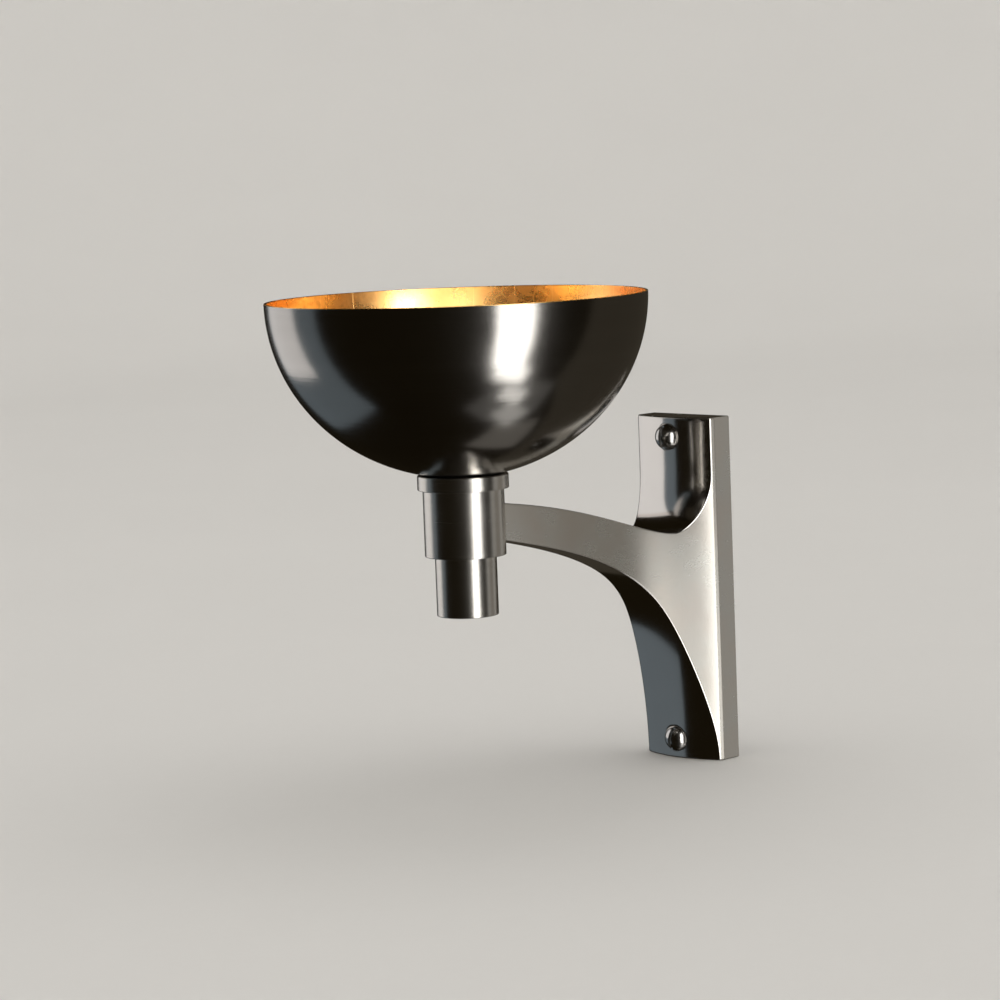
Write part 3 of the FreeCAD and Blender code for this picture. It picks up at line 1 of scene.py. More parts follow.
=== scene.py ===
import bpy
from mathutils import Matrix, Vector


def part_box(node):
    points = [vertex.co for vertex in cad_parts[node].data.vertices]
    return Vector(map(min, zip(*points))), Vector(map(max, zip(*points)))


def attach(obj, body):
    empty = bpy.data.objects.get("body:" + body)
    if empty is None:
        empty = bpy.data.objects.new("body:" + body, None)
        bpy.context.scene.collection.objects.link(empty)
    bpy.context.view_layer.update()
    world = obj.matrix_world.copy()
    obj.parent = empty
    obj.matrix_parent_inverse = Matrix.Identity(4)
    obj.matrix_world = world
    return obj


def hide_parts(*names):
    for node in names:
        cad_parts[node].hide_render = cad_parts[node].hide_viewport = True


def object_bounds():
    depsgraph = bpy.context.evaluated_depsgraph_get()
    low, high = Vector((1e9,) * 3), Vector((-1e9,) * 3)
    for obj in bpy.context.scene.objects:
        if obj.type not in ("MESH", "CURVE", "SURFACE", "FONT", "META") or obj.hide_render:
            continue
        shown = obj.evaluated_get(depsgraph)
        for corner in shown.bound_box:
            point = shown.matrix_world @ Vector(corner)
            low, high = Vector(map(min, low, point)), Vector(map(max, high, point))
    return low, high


bl_info = {
    "name": "Uplighter Wall Sconce",
    "version": (1, 0, 0),
    "blender": (4, 5, 0),
    "location": "View3D > Sidebar > Sconce",
    "description": "Dresses the wall light: bracket, cup, spun bowl, screws, lamp and inner wiring",
    "category": "Object",
}

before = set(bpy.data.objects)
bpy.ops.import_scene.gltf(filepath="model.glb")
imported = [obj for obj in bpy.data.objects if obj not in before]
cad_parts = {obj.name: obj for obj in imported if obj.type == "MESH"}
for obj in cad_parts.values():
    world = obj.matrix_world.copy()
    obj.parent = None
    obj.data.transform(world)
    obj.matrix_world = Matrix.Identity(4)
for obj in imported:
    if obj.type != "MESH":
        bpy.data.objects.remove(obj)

import bmesh
import bpy
import numpy as np
from bpy.props import FloatProperty, FloatVectorProperty, IntProperty, PointerProperty
from mathutils import Matrix, Vector

CAD_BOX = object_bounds()
BOWL_LOW, BOWL_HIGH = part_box("bowl")
CUP_LOW, CUP_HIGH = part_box("lamp_cup")
COLLAR_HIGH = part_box("seat_collar")[1]
SLEEVE_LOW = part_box("lower_sleeve")[0]
CASTING_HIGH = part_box("wall_bracket")[1]
AXIS_DEPTH = -(BOWL_LOW.y + BOWL_HIGH.y) / 2

PLATE_FRONT = .0208      # depth of the plate's front where the curves of the side outline start
PLATE_END = .0955        # half the height of the plate, where the lower curve starts
ARM_TIP = .170           # depth at which both curves of the arm end, inside the cup's saddle
COVE_DEPTH, COVE_HEIGHT = .0379, .0335      # lowest point of the cove above the arm
ARM_HOLE = .0522         # height of the threaded tube that joins the arm to the cup
HOLE_RADIUS = .00505     # holes for the threaded tubes
CUP_RADIUS, CUP_INSIDE = .0214, .0194
SCREW_HEIGHT = .0845     # the wall screws' lines above and below the plate's middle
HEAD_RADIUS, HEAD_SEAT, HEAD_RIM, HEAD_TOP = .0075, .0202, .0210, .0268
CREASE = np.radians(35.0)      # edges sharper than this stay sharp


# ---------------------------------------------------------------- sizes and colours

class SconceCasting(bpy.types.PropertyGroup):
    half_height: FloatProperty(
        name="Plate half height", description="Half the height of the wall plate",
        default=CASTING_HIGH.z, unit="LENGTH", precision=5)
    front_depth: FloatProperty(
        name="Plate front depth", description="Depth of the plate's front on its centre line",
        default=PLATE_FRONT, unit="LENGTH", precision=5)
    crown_axis: FloatProperty(
        name="Crown axis", description="Distance behind the wall of the front's crown axis",
        default=0.0432, unit="LENGTH", precision=5)
    edge_round: FloatProperty(
        name="Edge rounding", description="Width of the softened edges of the casting",
        default=0.0008, unit="LENGTH", precision=5)
    colour: FloatVectorProperty(
        name="Nickel", description="Colour of the polished nickel", subtype="COLOR", size=3,
        default=(0.72, 0.69, 0.65))
    polish: FloatProperty(
        name="Polish roughness", description="Roughness of the polished fronts", subtype="FACTOR",
        default=0.13, min=0.0, max=1.0)
    satin: FloatProperty(
        name="Side roughness", description="Roughness of the casting's brushed sides", subtype="FACTOR",
        default=0.24, min=0.0, max=1.0)


class SconceTurned(bpy.types.PropertyGroup):
    edge_round: FloatProperty(
        name="Turned edges", description="Rounding of the turned edges", default=0.0005, unit="LENGTH",
        precision=5)
    colour: FloatVectorProperty(
        name="Turned nickel", description="Colour of the cup, collar and sleeve", subtype="COLOR", size=3,
        default=(0.70, 0.67, 0.62))
    roughness: FloatProperty(
        name="Turned roughness", description="Roughness of the turned nickel", subtype="FACTOR",
        default=0.23, min=0.0, max=1.0)


class SconceBowl(bpy.types.PropertyGroup):
    wall: FloatProperty(
        name="Bowl wall", description="Thickness of the spun bowl", default=0.0013, unit="LENGTH",
        precision=5)
    form_depth: FloatProperty(
        name="Oval depth", description="Depth of the bowl's oval without its flat seat", default=0.0945,
        unit="LENGTH", precision=5)
    hole_radius: FloatProperty(
        name="Hole radius", description="Radius of the hole for the lampholder", default=0.0145,
        unit="LENGTH", precision=5)
    around: IntProperty(
        name="Steps around", description="Faces around the bowl", default=192, min=48, max=512)
    colour: FloatVectorProperty(
        name="Dark nickel", description="Colour of the bowl's outside", subtype="COLOR", size=3,
        default=(0.50, 0.48, 0.45))
    roughness: FloatProperty(
        name="Bowl roughness", description="Roughness of the bowl's outside", subtype="FACTOR",
        default=0.165, min=0.0, max=1.0)
    leaf: FloatVectorProperty(
        name="Gold leaf", description="Colour of the leaf inside the bowl", subtype="COLOR", size=3,
        default=(1.0, 0.56, 0.20))


class SconceLamp(bpy.types.PropertyGroup):
    glow: FloatVectorProperty(
        name="Lamp light", description="Colour of the lit globe", subtype="COLOR", size=3,
        default=(1.0, 0.72, 0.42))
    strength: FloatProperty(
        name="Lamp strength", description="Strength of the lit globe", default=11.0, min=0.0)


class SconceStage(bpy.types.PropertyGroup):
    floor: FloatVectorProperty(
        name="Floor colour", description="Colour of the pale floor", subtype="COLOR", size=3,
        default=(0.74, 0.73, 0.71))
    azimuth: FloatProperty(
        name="Camera azimuth", description="Camera's turn from the front", subtype="ANGLE",
        default=np.radians(45.0))
    elevation: FloatProperty(
        name="Camera elevation", description="Camera's height angle", subtype="ANGLE",
        default=np.radians(6.16))
    roll: FloatProperty(
        name="Camera roll", description="Camera's turn about its own line of sight", subtype="ANGLE",
        default=np.radians(-2.15))
    distance: FloatProperty(
        name="Camera distance", description="Distance from the camera to its target", default=1.93124,
        unit="LENGTH", precision=5)
    lens: FloatProperty(
        name="Lens", description="Focal length in millimetres", default=128.96, min=10.0)


class SconceSettings(bpy.types.PropertyGroup):
    casting: PointerProperty(type=SconceCasting)
    turned: PointerProperty(type=SconceTurned)
    bowl: PointerProperty(type=SconceBowl)
    lamp: PointerProperty(type=SconceLamp)
    stage: PointerProperty(type=SconceStage)


# ---------------------------------------------------------------- material maths

class Term:
    """A node socket that stands in sums: every operator adds a Math node to its finish."""

    def __init__(self, finish, socket):
        self.finish, self.socket = finish, socket

    def maths(self, operation, *terms):
        return self.finish.node("ShaderNodeMath", {"operation": operation}, dict(enumerate(terms)))[0]

    def __add__(self, other):
        return self.maths("ADD", self, other)

    __radd__ = __add__

    def __mul__(self, other):
        return self.maths("MULTIPLY", self, other)

    def __sub__(self, other):
        return self.maths("SUBTRACT", self, other)

    def __rsub__(self, other):
        return self.maths("SUBTRACT", other, self)

    def __pow__(self, power):
        return self.maths("POWER", self, power)

    def above(self, edge):
        return self.maths("GREATER_THAN", self, edge)

    def kept(self):
        """Held between 0 and 1."""
        return self.maths("MINIMUM", self.maths("MAXIMUM", self, 0.0), 1.0)


class Finish:
    """A procedural material: a Principled shader whose varying sockets are fed by terms."""

    def __init__(self, name, **constants):
        old = bpy.data.materials.get(name)
        if old:
            bpy.data.materials.remove(old)
        self.material = bpy.data.materials.new(name)
        self.material.use_nodes = True
        self.tree = self.material.node_tree
        self.shader = self.tree.nodes["Principled BSDF"]
        for socket, value in constants.items():
            self.shader.inputs[socket.replace("_", " ")].default_value = value

    def node(self, kind, settings=None, sockets=None):
        """Adds a node, makes its settings, fills its sockets with values or links, gives its outputs."""
        made = self.tree.nodes.new(kind)
        for key, value in (settings or {}).items():
            setattr(made, key, value)
        for key, value in (sockets or {}).items():
            named = [s for s in made.inputs if s.name == key and s.enabled]
            socket = made.inputs[key] if isinstance(key, int) else named[0]
            if isinstance(value, Term):
                self.tree.links.new(value.socket, socket)
            else:
                socket.default_value = value
        shown = [Term(self, s) for s in made.outputs if s.enabled]
        return {**{term.socket.name: term for term in shown}, **dict(enumerate(shown))}

    def feed(self, socket, term):
        self.tree.links.new(term.socket, self.shader.inputs[socket])

    def place(self, scale=(1.0, 1.0, 1.0), shift=(0.0, 0.0, 0.0), turn=(0.0, 0.0, 0.0)):
        """Object coordinates, shifted, turned and scaled."""
        here = self.node("ShaderNodeTexCoord")["Object"]
        return self.node("ShaderNodeMapping", {"vector_type": "POINT"},
                         {"Vector": here, "Location": shift, "Rotation": turn, "Scale": scale})[0]

    def noise(self, at, scale, detail=3.0, roughness=0.5):
        return self.node("ShaderNodeTexNoise", {},
                         {"Vector": at, "Scale": scale, "Detail": detail, "Roughness": roughness})[0]

    def ripple(self, along, scale, detail):
        """Noise along one number only."""
        return self.node("ShaderNodeTexNoise", {"noise_dimensions": "1D"},
                         {"W": along, "Scale": scale, "Detail": detail})[0]

    def blend(self, share, first, second):
        return self.node("ShaderNodeMix", {"data_type": "RGBA"},
                         {0: share, 6: first if isinstance(first, Term) else (*first, 1.0),
                          7: second if isinstance(second, Term) else (*second, 1.0)})[0]

    def bump(self, height, distance, strength):
        sockets = {"Height": height, "Distance": distance, "Strength": strength}
        self.feed("Normal", self.node("ShaderNodeBump", {}, sockets)[0])

    def surface(self, share, first, second, roughness):
        """Feeds the colour, a blend of two, and the roughness."""
        self.feed("Base Color", self.blend(share, first, second))
        self.feed("Roughness", roughness)

    def bands(self, direction, scale):
        """Even waves along one axis, for a thread."""
        return self.node("ShaderNodeTexWave", {"wave_type": "BANDS", "bands_direction": direction},
                         {"Vector": self.place(), "Scale": scale, "Distortion": 0.0})[1]

    def parts(self, vector):
        return self.node("ShaderNodeSeparateXYZ", {}, {0: vector})

    def round_the_cup(self):
        """Distance from the cup axis and height, from Object coordinates."""
        here = self.parts(self.place(shift=(0.0, AXIS_DEPTH, 0.0)))
        x, y = here["X"], here["Y"]
        return (x * x + y * y) ** 0.5, here["Z"]


def tint(colour, factor):
    return tuple(float(min(1.0, c * factor)) for c in colour)


# ---------------------------------------------------------------- surfaces

def linked(name, data):
    """A new object in the scene that shows the data."""
    thing = bpy.data.objects.new(name, data)
    bpy.context.scene.collection.objects.link(thing)
    return thing


def grid_faces(grid, wrap, start=0):
    """Point numbers of a grid's faces: points (i, j) and their neighbours make a face of four corners."""
    rows, columns = grid.shape[:2]
    number = np.arange(rows * columns).reshape(rows, columns) + start
    if wrap:
        number = np.concatenate([number, number[:, :1]], axis=1)
    quads = np.stack([number[:-1, :-1], number[:-1, 1:], number[1:, 1:], number[1:, :-1]], axis=-1)
    return quads.reshape(-1, 4)


def smooth(mesh):
    mesh.shade_smooth()
    mesh.set_sharp_from_angle(angle=CREASE)


def piece_from_grids(name, grids, body="fixture", finishes=(), replaces=()):
    """One closed mesh from point grids. A grid is (points, wrap, material index), and a wrapped grid
    joins its last column to its first."""
    points, faces, indices, start = [], [], [], 0
    for grid, wrap, index in grids:
        points.append(grid.reshape(-1, 3))
        faces.append(grid_faces(grid, wrap, start))
        indices.append(np.full(len(faces[-1]), index))
        start += len(points[-1])
    mesh = bpy.data.meshes.new(name)
    mesh.from_pydata(np.concatenate(points).tolist(), [], np.concatenate(faces).tolist())
    mesh.polygons.foreach_set("material_index", np.concatenate(indices).astype(np.int32))
    for finish in finishes:
        mesh.materials.append(finish.material)
    tidy(mesh)
    smooth(mesh)
    piece = linked(name, mesh)
    weighted = piece.modifiers.new("Weighted normals", "WEIGHTED_NORMAL")
    weighted.keep_sharp = True
    weighted.mode = "FACE_AREA"
    if body:
        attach(piece, body)
    if replaces:
        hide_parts(*replaces)
    return piece


def tidy(mesh, near=2e-6):
    """Joins points that coincide and turns every face outwards."""
    work = bmesh.new()
    work.from_mesh(mesh)
    bmesh.ops.remove_doubles(work, verts=work.verts, dist=near)
    bmesh.ops.dissolve_degenerate(work, edges=work.edges, dist=near / 2)
    bmesh.ops.recalc_face_normals(work, faces=work.faces)
    work.to_mesh(mesh)
    work.free()


def carve(piece, cutters):
    """Takes the cutters' space out of the piece, once and for all."""
    for cutter in cutters:
        cut = piece.modifiers.new("Cut", "BOOLEAN")
        cut.operation, cut.solver, cut.object = "DIFFERENCE", "EXACT", cutter
        piece.modifiers.move(len(piece.modifiers) - 1, 0)
        for other in piece.modifiers:
            other.show_viewport = other.name == cut.name
        bpy.context.view_layer.update()
        cut_mesh = bpy.data.meshes.new_from_object(piece.evaluated_get(bpy.context.evaluated_depsgraph_get()))
        piece.modifiers.remove(cut)
        old, name = piece.data, piece.data.name
        piece.data = cut_mesh
        bpy.data.meshes.remove(old)
        cut_mesh.name = name
        bpy.data.objects.remove(cutter)
    for other in piece.modifiers:
        other.show_viewport = True
    smooth(piece.data)


def cutter_from_grid(points):
    mesh = bpy.data.meshes.new("cutter")
    mesh.from_pydata(points.reshape(-1, 3).tolist(), [], grid_faces(points, True).tolist())
    tidy(mesh)
    return linked("cutter", mesh)


def straight_cut(outline, start, end):
    """A closed outline in the X-Z plane carried along Y from start to end, its two ends closed to
    their middle: four rows, middle, outline, outline, middle."""
    middle = np.broadcast_to(outline.mean(axis=0), outline.shape)
    rows = [(middle, start), (outline, start), (outline, end), (middle, end)]
    return np.stack([np.stack([flat[:, 0], np.full(len(flat), y), flat[:, 1]], axis=-1)
                     for flat, y in rows])


def bore(x, z, radius, count, start, end):
    """A round cut along Y, from a circle of points: centre plus radius times cosine and sine."""
    angle = np.linspace(0.0, 2 * np.pi, count, endpoint=False)
    circle = np.stack([x + radius * np.cos(angle), z + radius * np.sin(angle)], axis=-1)
    return straight_cut(circle, start, end)


def soft_box_outline(x0, x1, z0, z1, radius, steps=7):
    """A rectangle with round corners: each corner's centre plus radius times a quarter turn."""
    angle = np.linspace(0.0, np.pi / 2, steps)
    turn = angle[None, :] + np.arange(4)[:, None] * np.pi / 2
    centre_x = np.array([x1 - radius, x0 + radius, x0 + radius, x1 - radius])
    centre_z = np.array([z1 - radius, z1 - radius, z0 + radius, z0 + radius])
    return np.stack([(centre_x[:, None] + radius * np.cos(turn)).ravel(),
                     (centre_z[:, None] + radius * np.sin(turn)).ravel()], axis=-1)


def normed(ways):
    """Each row of numbers scaled to length 1."""
    return ways / np.linalg.norm(ways, axis=-1, keepdims=True)


def eased(corners, rounding, steps=5):
    """An outline whose corners are replaced by short curves: a corner's point at share s lies
    rounding (1 - s)^2 towards the corner before and rounding s^2 towards the corner after."""
    corners, rounding = np.asarray(corners, float), np.asarray(rounding, float)[:, None, None]
    before, after = (normed(np.roll(corners, step, axis=0) - corners)[:, None] for step in (1, -1))
    share = np.linspace(0.0, 1.0, steps)[None, :, None]
    curve = corners[:, None] + rounding * ((1 - share) ** 2 * before + share ** 2 * after)
    return curve.reshape(-1, 2)


def turned_piece(name, profile, around, finish, replaces, body="fixture"):
    """A closed outline of (radius, height) turned about the cup axis: x = r sin a,
    y = axis - r cos a and z = h."""
    profile = np.concatenate([profile, profile[:1]])
    angle = np.linspace(0.0, 2 * np.pi, around, endpoint=False)
    r, h = profile[:, :1], profile[:, 1:]
    grid = np.stack([r * np.sin(angle), -AXIS_DEPTH - r * np.cos(angle), h + 0 * angle], axis=-1)
    return piece_from_grids(name, [(grid, True, 0)], body, [finish], (replaces,))


def cubic(p0, p1, p2, p3, count=4000):
    """A curve of four points with the weights (1-s)^3, 3s(1-s)^2, 3s^2(1-s) and s^3."""
    s = np.linspace(0.0, 1.0, count)[:, None]
    p0, p1, p2, p3 = (np.asarray(p, float) for p in (p0, p1, p2, p3))
    return (1 - s) ** 3 * p0 + 3 * s * (1 - s) ** 2 * p1 + 3 * s ** 2 * (1 - s) * p2 + s ** 3 * p3


# ---------------------------------------------------------------- the cast bracket

def upper_edge():
    """The bracket's side outline above the arm, as (depth, height): a cove, then the arm's top."""
    low, tip = (COVE_DEPTH, COVE_HEIGHT), np.array([ARM_TIP, .0636])
    cove = cubic((PLATE_FRONT, .0643), (PLATE_FRONT, .0467), (.02905, COVE_HEIGHT), low)
    top = cubic(low, (.0499, COVE_HEIGHT), tip - .075 * normed(np.array([1, .11])), tip)
    return np.concatenate([cove, top[1:]])


def lower_edge():
    """The side outline below the arm, as (depth, height): the sweep up from the plate, then the
    arm's underside. They meet at turn, at 56.2 degrees."""
    slope = np.radians(56.2)
    way, turn = normed(np.array([np.cos(slope), np.sin(slope)])), np.array([.0455, -.0078])
    tip = np.array([ARM_TIP, .0446])
    sweep = cubic((PLATE_FRONT, -PLATE_END), (PLATE_FRONT, -.0675), turn - .0219 * way, turn)
    under = cubic(turn, turn + .0326 * way, tip - .0678 * normed(np.array([1, .21])), tip)
    return np.concatenate([sweep, under[1:]])


def half_width(depth):
    """Half the casting's width at a depth: straight near the wall, a round flare, then the even arm."""
    return .13068 - np.sqrt(.12068 ** 2 - np.clip(.076 - depth, 0.0, .063) ** 2)


class CastingShape:
    """The bracket as a function of two parameters. A centre-line depth D and a share t across give
    the angle a = t times the edge's angle, x = (R + D) sin a and depth = (R + D) cos a - R,
    where R is the crown's axis behind the wall. Height follows the side outline at D."""

    def __init__(self, sizes, along=150, across=36, plate_rows=22, down=14, deep=10):
        self.crown, self.start, self.ease = sizes.crown_axis, sizes.front_depth, sizes.edge_round
        self.half_height = sizes.half_height
        self.across = np.linspace(-1.0, 1.0, across + 1)
        self.run = np.linspace(0.0, 1.0, along + 1) ** 1.5
        self.down = np.linspace(0.0, 1.0, down + 1)
        self.deep = np.linspace(0.0, 1.0, deep + 1)
        self.soft = np.linspace(0.0, 1.0, 6)
        depths = np.linspace(0.0, .18, 9001)
        self.edge_table = (np.sqrt(half_width(depths) ** 2 + (self.crown + depths) ** 2) - self.crown, depths)
        self.upper, self.lower = upper_edge(), lower_edge()
        self.plate_heights = np.linspace(self.half_height - self.ease, self.upper[0, 1], plate_rows + 1)[:-1]

    def side_depth(self, reach):
        return np.interp(reach, *self.edge_table)

    def skin(self, reach, share):
        """Points (x, depth) of the crowned skin at a centre-line depth and a share across."""
        side = self.side_depth(reach)
        angle = share * np.arcsin(half_width(side) / (self.crown + reach))
        return (self.crown + reach) * np.sin(angle), (self.crown + reach) * np.cos(angle) - self.crown

    def tip_reach(self, share, saddle=.02145):
        """The centre-line depth at which the skin meets the round saddle for the cup."""
        reach = np.full_like(share, .16)
        for _ in range(30):
            x, depth = self.skin(reach, share)
            depth = AXIS_DEPTH - np.sqrt(saddle ** 2 - x ** 2)
            reach = np.sqrt(x ** 2 + (self.crown + depth) ** 2) - self.crown
        return reach

    def heights(self, reach, outline):
        return np.maximum(np.interp(reach, outline[:, 0], outline[:, 1]), -self.half_height + self.ease)

    def skins(self):
        """The upper and the lower skin as grids of points (x, -depth, height)."""
        reach = self.start + (self.tip_reach(self.across)[None, :] - self.start) * self.run[:, None]
        x, depth = self.skin(reach, self.across[None, :])
        upper = np.stack([x, -depth, self.heights(reach, self.upper)], axis=-1)
        lower = np.stack([x, -depth, self.heights(reach, self.lower)], axis=-1)
        plate = np.repeat(upper[:1], len(self.plate_heights), axis=0)
        plate[:, :, 2] = self.plate_heights[:, None]
        return np.concatenate([plate, upper]), lower

    def edge(self, skin, side, level):
        """The softened edge along one side of a skin: rows of points from the skin to the side wall.
        At share s a point is the sharp edge's point plus ease (1 - s)^2 into the skin and ease s^2
        into the wall. Level is 1 for the upper skin and -1 for the lower one."""
        rim, inner = skin[:, side], skin[:, side + (1 if side == 0 else -1)]
        tangent = normed(np.gradient(rim, axis=0))
        into_skin = inner - rim
        into_skin = normed(into_skin - (into_skin * tangent).sum(axis=1, keepdims=True) * tangent)[:, None]
        depth = -rim[:, 1]
        slope = (half_width(depth + 1e-6) - half_width(depth - 1e-6)) / 2e-6
        into_wall = normed(np.cross(np.stack([np.sign(rim[:, 0]), slope, 0 * slope], axis=-1), tangent))
        into_wall *= np.sign(into_wall @ np.array([0.0, 1.0, -level]))[:, None]
        share = self.soft[None, :, None]
        return rim[:, None] + self.ease * ((1 - share) ** 2 * into_skin + share ** 2 * into_wall[:, None])

    def grids(self):
        upper, lower = self.skins()
        plates = len(self.plate_heights)
        result, walls = [], []
        for side in (0, -1):
            edges = [self.edge(skin, side, level) for skin, level in ((upper, 1.0), (lower, -1.0))]
            upper[:, side], lower[:, side] = edges[0][:, 0], edges[1][:, 0]
            top, bottom = edges[0][plates:, -1], edges[1][:, -1]
            wall = bottom[None] + (top - bottom)[None] * self.down[:, None, None]
            inner = wall[1:-1]
            inner[..., 0] = np.sign(inner[..., 0]) * half_width(-inner[..., 1])
            column = np.concatenate([wall[:, 0], edges[0][:plates, -1][::-1]])
            plain = np.repeat(column[:, None], len(self.deep), axis=1)
            plain[..., 1] *= self.deep[None, :]
            plain[:, :-1, 0] = np.sign(plain[:, :-1, 0]) * half_width(-plain[:, :-1, 1])
            result += [(edges[0], False, 0), (edges[1], False, 0), (wall, False, 1), (plain, False, 1)]
            walls.append((edges, wall, plain))
        result += [(upper, False, 0), (lower, False, 0)]
        left, right = walls
        back = left[2][:, :1] + (right[2][:, :1] - left[2][:, :1]) * ((self.across + 1) / 2)[None, :, None]
        result.append((back, False, 1))
        chains = [np.concatenate([left[0][k][-1, ::-1][:-1], skin[-1], right[0][k][-1][1:]])
                  for k, skin in enumerate((upper, lower))]
        tip = chains[1][None] + (chains[0] - chains[1])[None] * self.down[:, None, None]
        tip[:, 0], tip[:, -1] = left[1][:, -1], right[1][:, -1]
        result.append((tip, False, 1))
        for row, skin, level in ((-1, upper, 1.0), (0, lower, -1.0)):
            edge_index = 0 if level > 0 else 1
            loop = np.concatenate([skin[0], right[0][edge_index][0][1:-1], right[2][row, ::-1],
                                   back[row][::-1][1:-1], left[2][row], left[0][edge_index][0][::-1][1:-1]])
            result.append((self.end_cap(loop, level), True, 1))
        return result

    def end_cap(self, loop, level, steps=5):
        """The plate's softened end: the outline drawn inwards by ease (1 - cos a) while it climbs by the
        share sin a to the plate's end, then closed to its middle."""
        along = normed((np.roll(loop, -1, axis=0) - np.roll(loop, 1, axis=0))[:, :2])
        inward = np.stack([-along[:, 1], along[:, 0]], axis=-1)
        middle = np.array([0.0, -.010, level * self.half_height])
        to_middle = middle[:2] - loop[:, :2]
        inward *= np.sign((inward * to_middle).sum(axis=1, keepdims=True))
        angle = np.linspace(0.0, np.pi / 2, steps)[:, None]
        flat = loop[None, :, :2] + inward[None] * (self.ease * (1 - np.cos(angle)))[..., None]
        height = loop[None, :, 2] * (1 - np.sin(angle)) + level * self.half_height * np.sin(angle)
        rows = np.concatenate([flat, height[..., None]], axis=-1)
        return np.concatenate([rows, np.broadcast_to(middle, loop.shape)[None]])


def casting_finishes(sizes):
    polish = Finish("casting_polish", Metallic=1.0)
    here = polish.place()
    cloud = polish.noise(here, 55.0, 4.0, 0.6)
    streak = polish.noise(polish.place(scale=(900.0, 900.0, 60.0), turn=(0.0, 0.5, 0.3)), 1.0, 2.0)
    polish.surface(cloud, tint(sizes.colour, 0.94), tint(sizes.colour, 1.04),
                   sizes.polish * 0.7 + cloud * (sizes.polish * 0.45) + streak * 0.02)
    polish.bump(streak * 0.15 + polish.noise(here, 130.0, 2.0), 0.00002, 0.4)

    satin = Finish("casting_satin", Metallic=1.0)
    here = satin.place()
    cloud = satin.noise(here, 38.0, 3.0, 0.55)
    drift = satin.noise(satin.place(shift=(0.3, 0.1, 0.7)), 21.0, 2.0)
    grain = satin.noise(satin.place(scale=(300.0, 120.0, 700.0), turn=(0.25, 0.0, 0.0)), 1.0, 2.0)
    warm = satin.blend(drift, tint(sizes.colour, 0.92), (0.72, 0.655, 0.575))
    satin.surface((cloud - 0.35) * 1.6, warm, (0.66, 0.68, 0.64),
                  sizes.satin * 0.8 + cloud * (sizes.satin * 0.35) + grain * 0.05)
    satin.bump(grain * 0.06 + satin.noise(here, 24.0, 2.0) * 1.6, 0.00004, 0.35)
    return polish, satin


class SCONCE_OT_casting(bpy.types.Operator):
    """Builds the cast bracket with its crowned fronts, brushed sides, softened edges and hollow back"""
    bl_idname = "sconce.casting"
    bl_label = "Cast bracket"

    def execute(self, context):
        sizes = context.scene.sconce.casting
        piece = piece_from_grids("wall_casting", CastingShape(sizes).grids(),
                                 finishes=casting_finishes(sizes), replaces=("wall_bracket",))
        cavity = straight_cut(soft_box_outline(-.02325, .02325, -.066, .066, .006), .001, -.011)
        block_pocket = straight_cut(soft_box_outline(-.0155, .0155, -.040, .024, .003), .001, -.024)
        arm_hole = bore(0.0, ARM_HOLE, HOLE_RADIUS, 40, -.1426, -.180)
        earth_hole = bore(.0194, .012, .00205, 24, -.010, -.020)
        block_hole = bore(-.0045, -.014, .0013, 20, -.023, -.030)
        cuts = [cavity, block_pocket, self.channel(), arm_hole, earth_hole, block_hole]
        for height in (SCREW_HEIGHT, -SCREW_HEIGHT):
            cuts += [bore(0.0, height, .0033, 40, .001, -.0218),
                     bore(0.0, height, .0080, 72, -HEAD_SEAT, -.0288)]
        carve(piece, [cutter_from_grid(cut) for cut in cuts])
        return {"FINISHED"}

    @staticmethod
    def channel():
        """The wires' round way through the arm: a straight cut that leans up from the cavity."""
        depth, height = .021, .0175
        rise, run = ARM_HOLE - height, .1451 - depth
        lean = np.arctan2(rise, run)
        way = bore(0.0, 0.0, .0042, 32, 0.0, -np.hypot(rise, run))
        x, y, z = way[..., 0], way[..., 1], way[..., 2]
        return np.stack([x, y * np.cos(lean) + z * np.sin(lean) - depth,
                         z * np.cos(lean) - y * np.sin(lean) + height], axis=-1)


# ---------------------------------------------------------------- turned pieces

def turned_finish(sizes):
    """Lathe-turned metal: fine rings that follow height plus distance from the axis, and faint clouds."""
    finish = Finish("turned_nickel", Metallic=1.0)
    away, height = finish.round_the_cup()
    rings = finish.ripple(height + away, 4200.0, 2.0)
    bands = finish.ripple(height + away, 300.0, 2.0)
    cloud = finish.noise(finish.place(), 60.0)
    gloss = sizes.roughness
    finish.surface(bands * 0.5 + cloud * 0.5, tint(sizes.colour, 0.9), tint(sizes.colour, 1.06),
                   gloss * 0.75 + cloud * (gloss * 0.3) + rings * (gloss * 0.3))
    finish.bump(rings * 0.6 + bands * 0.5, 0.00004, 0.5)
    return finish


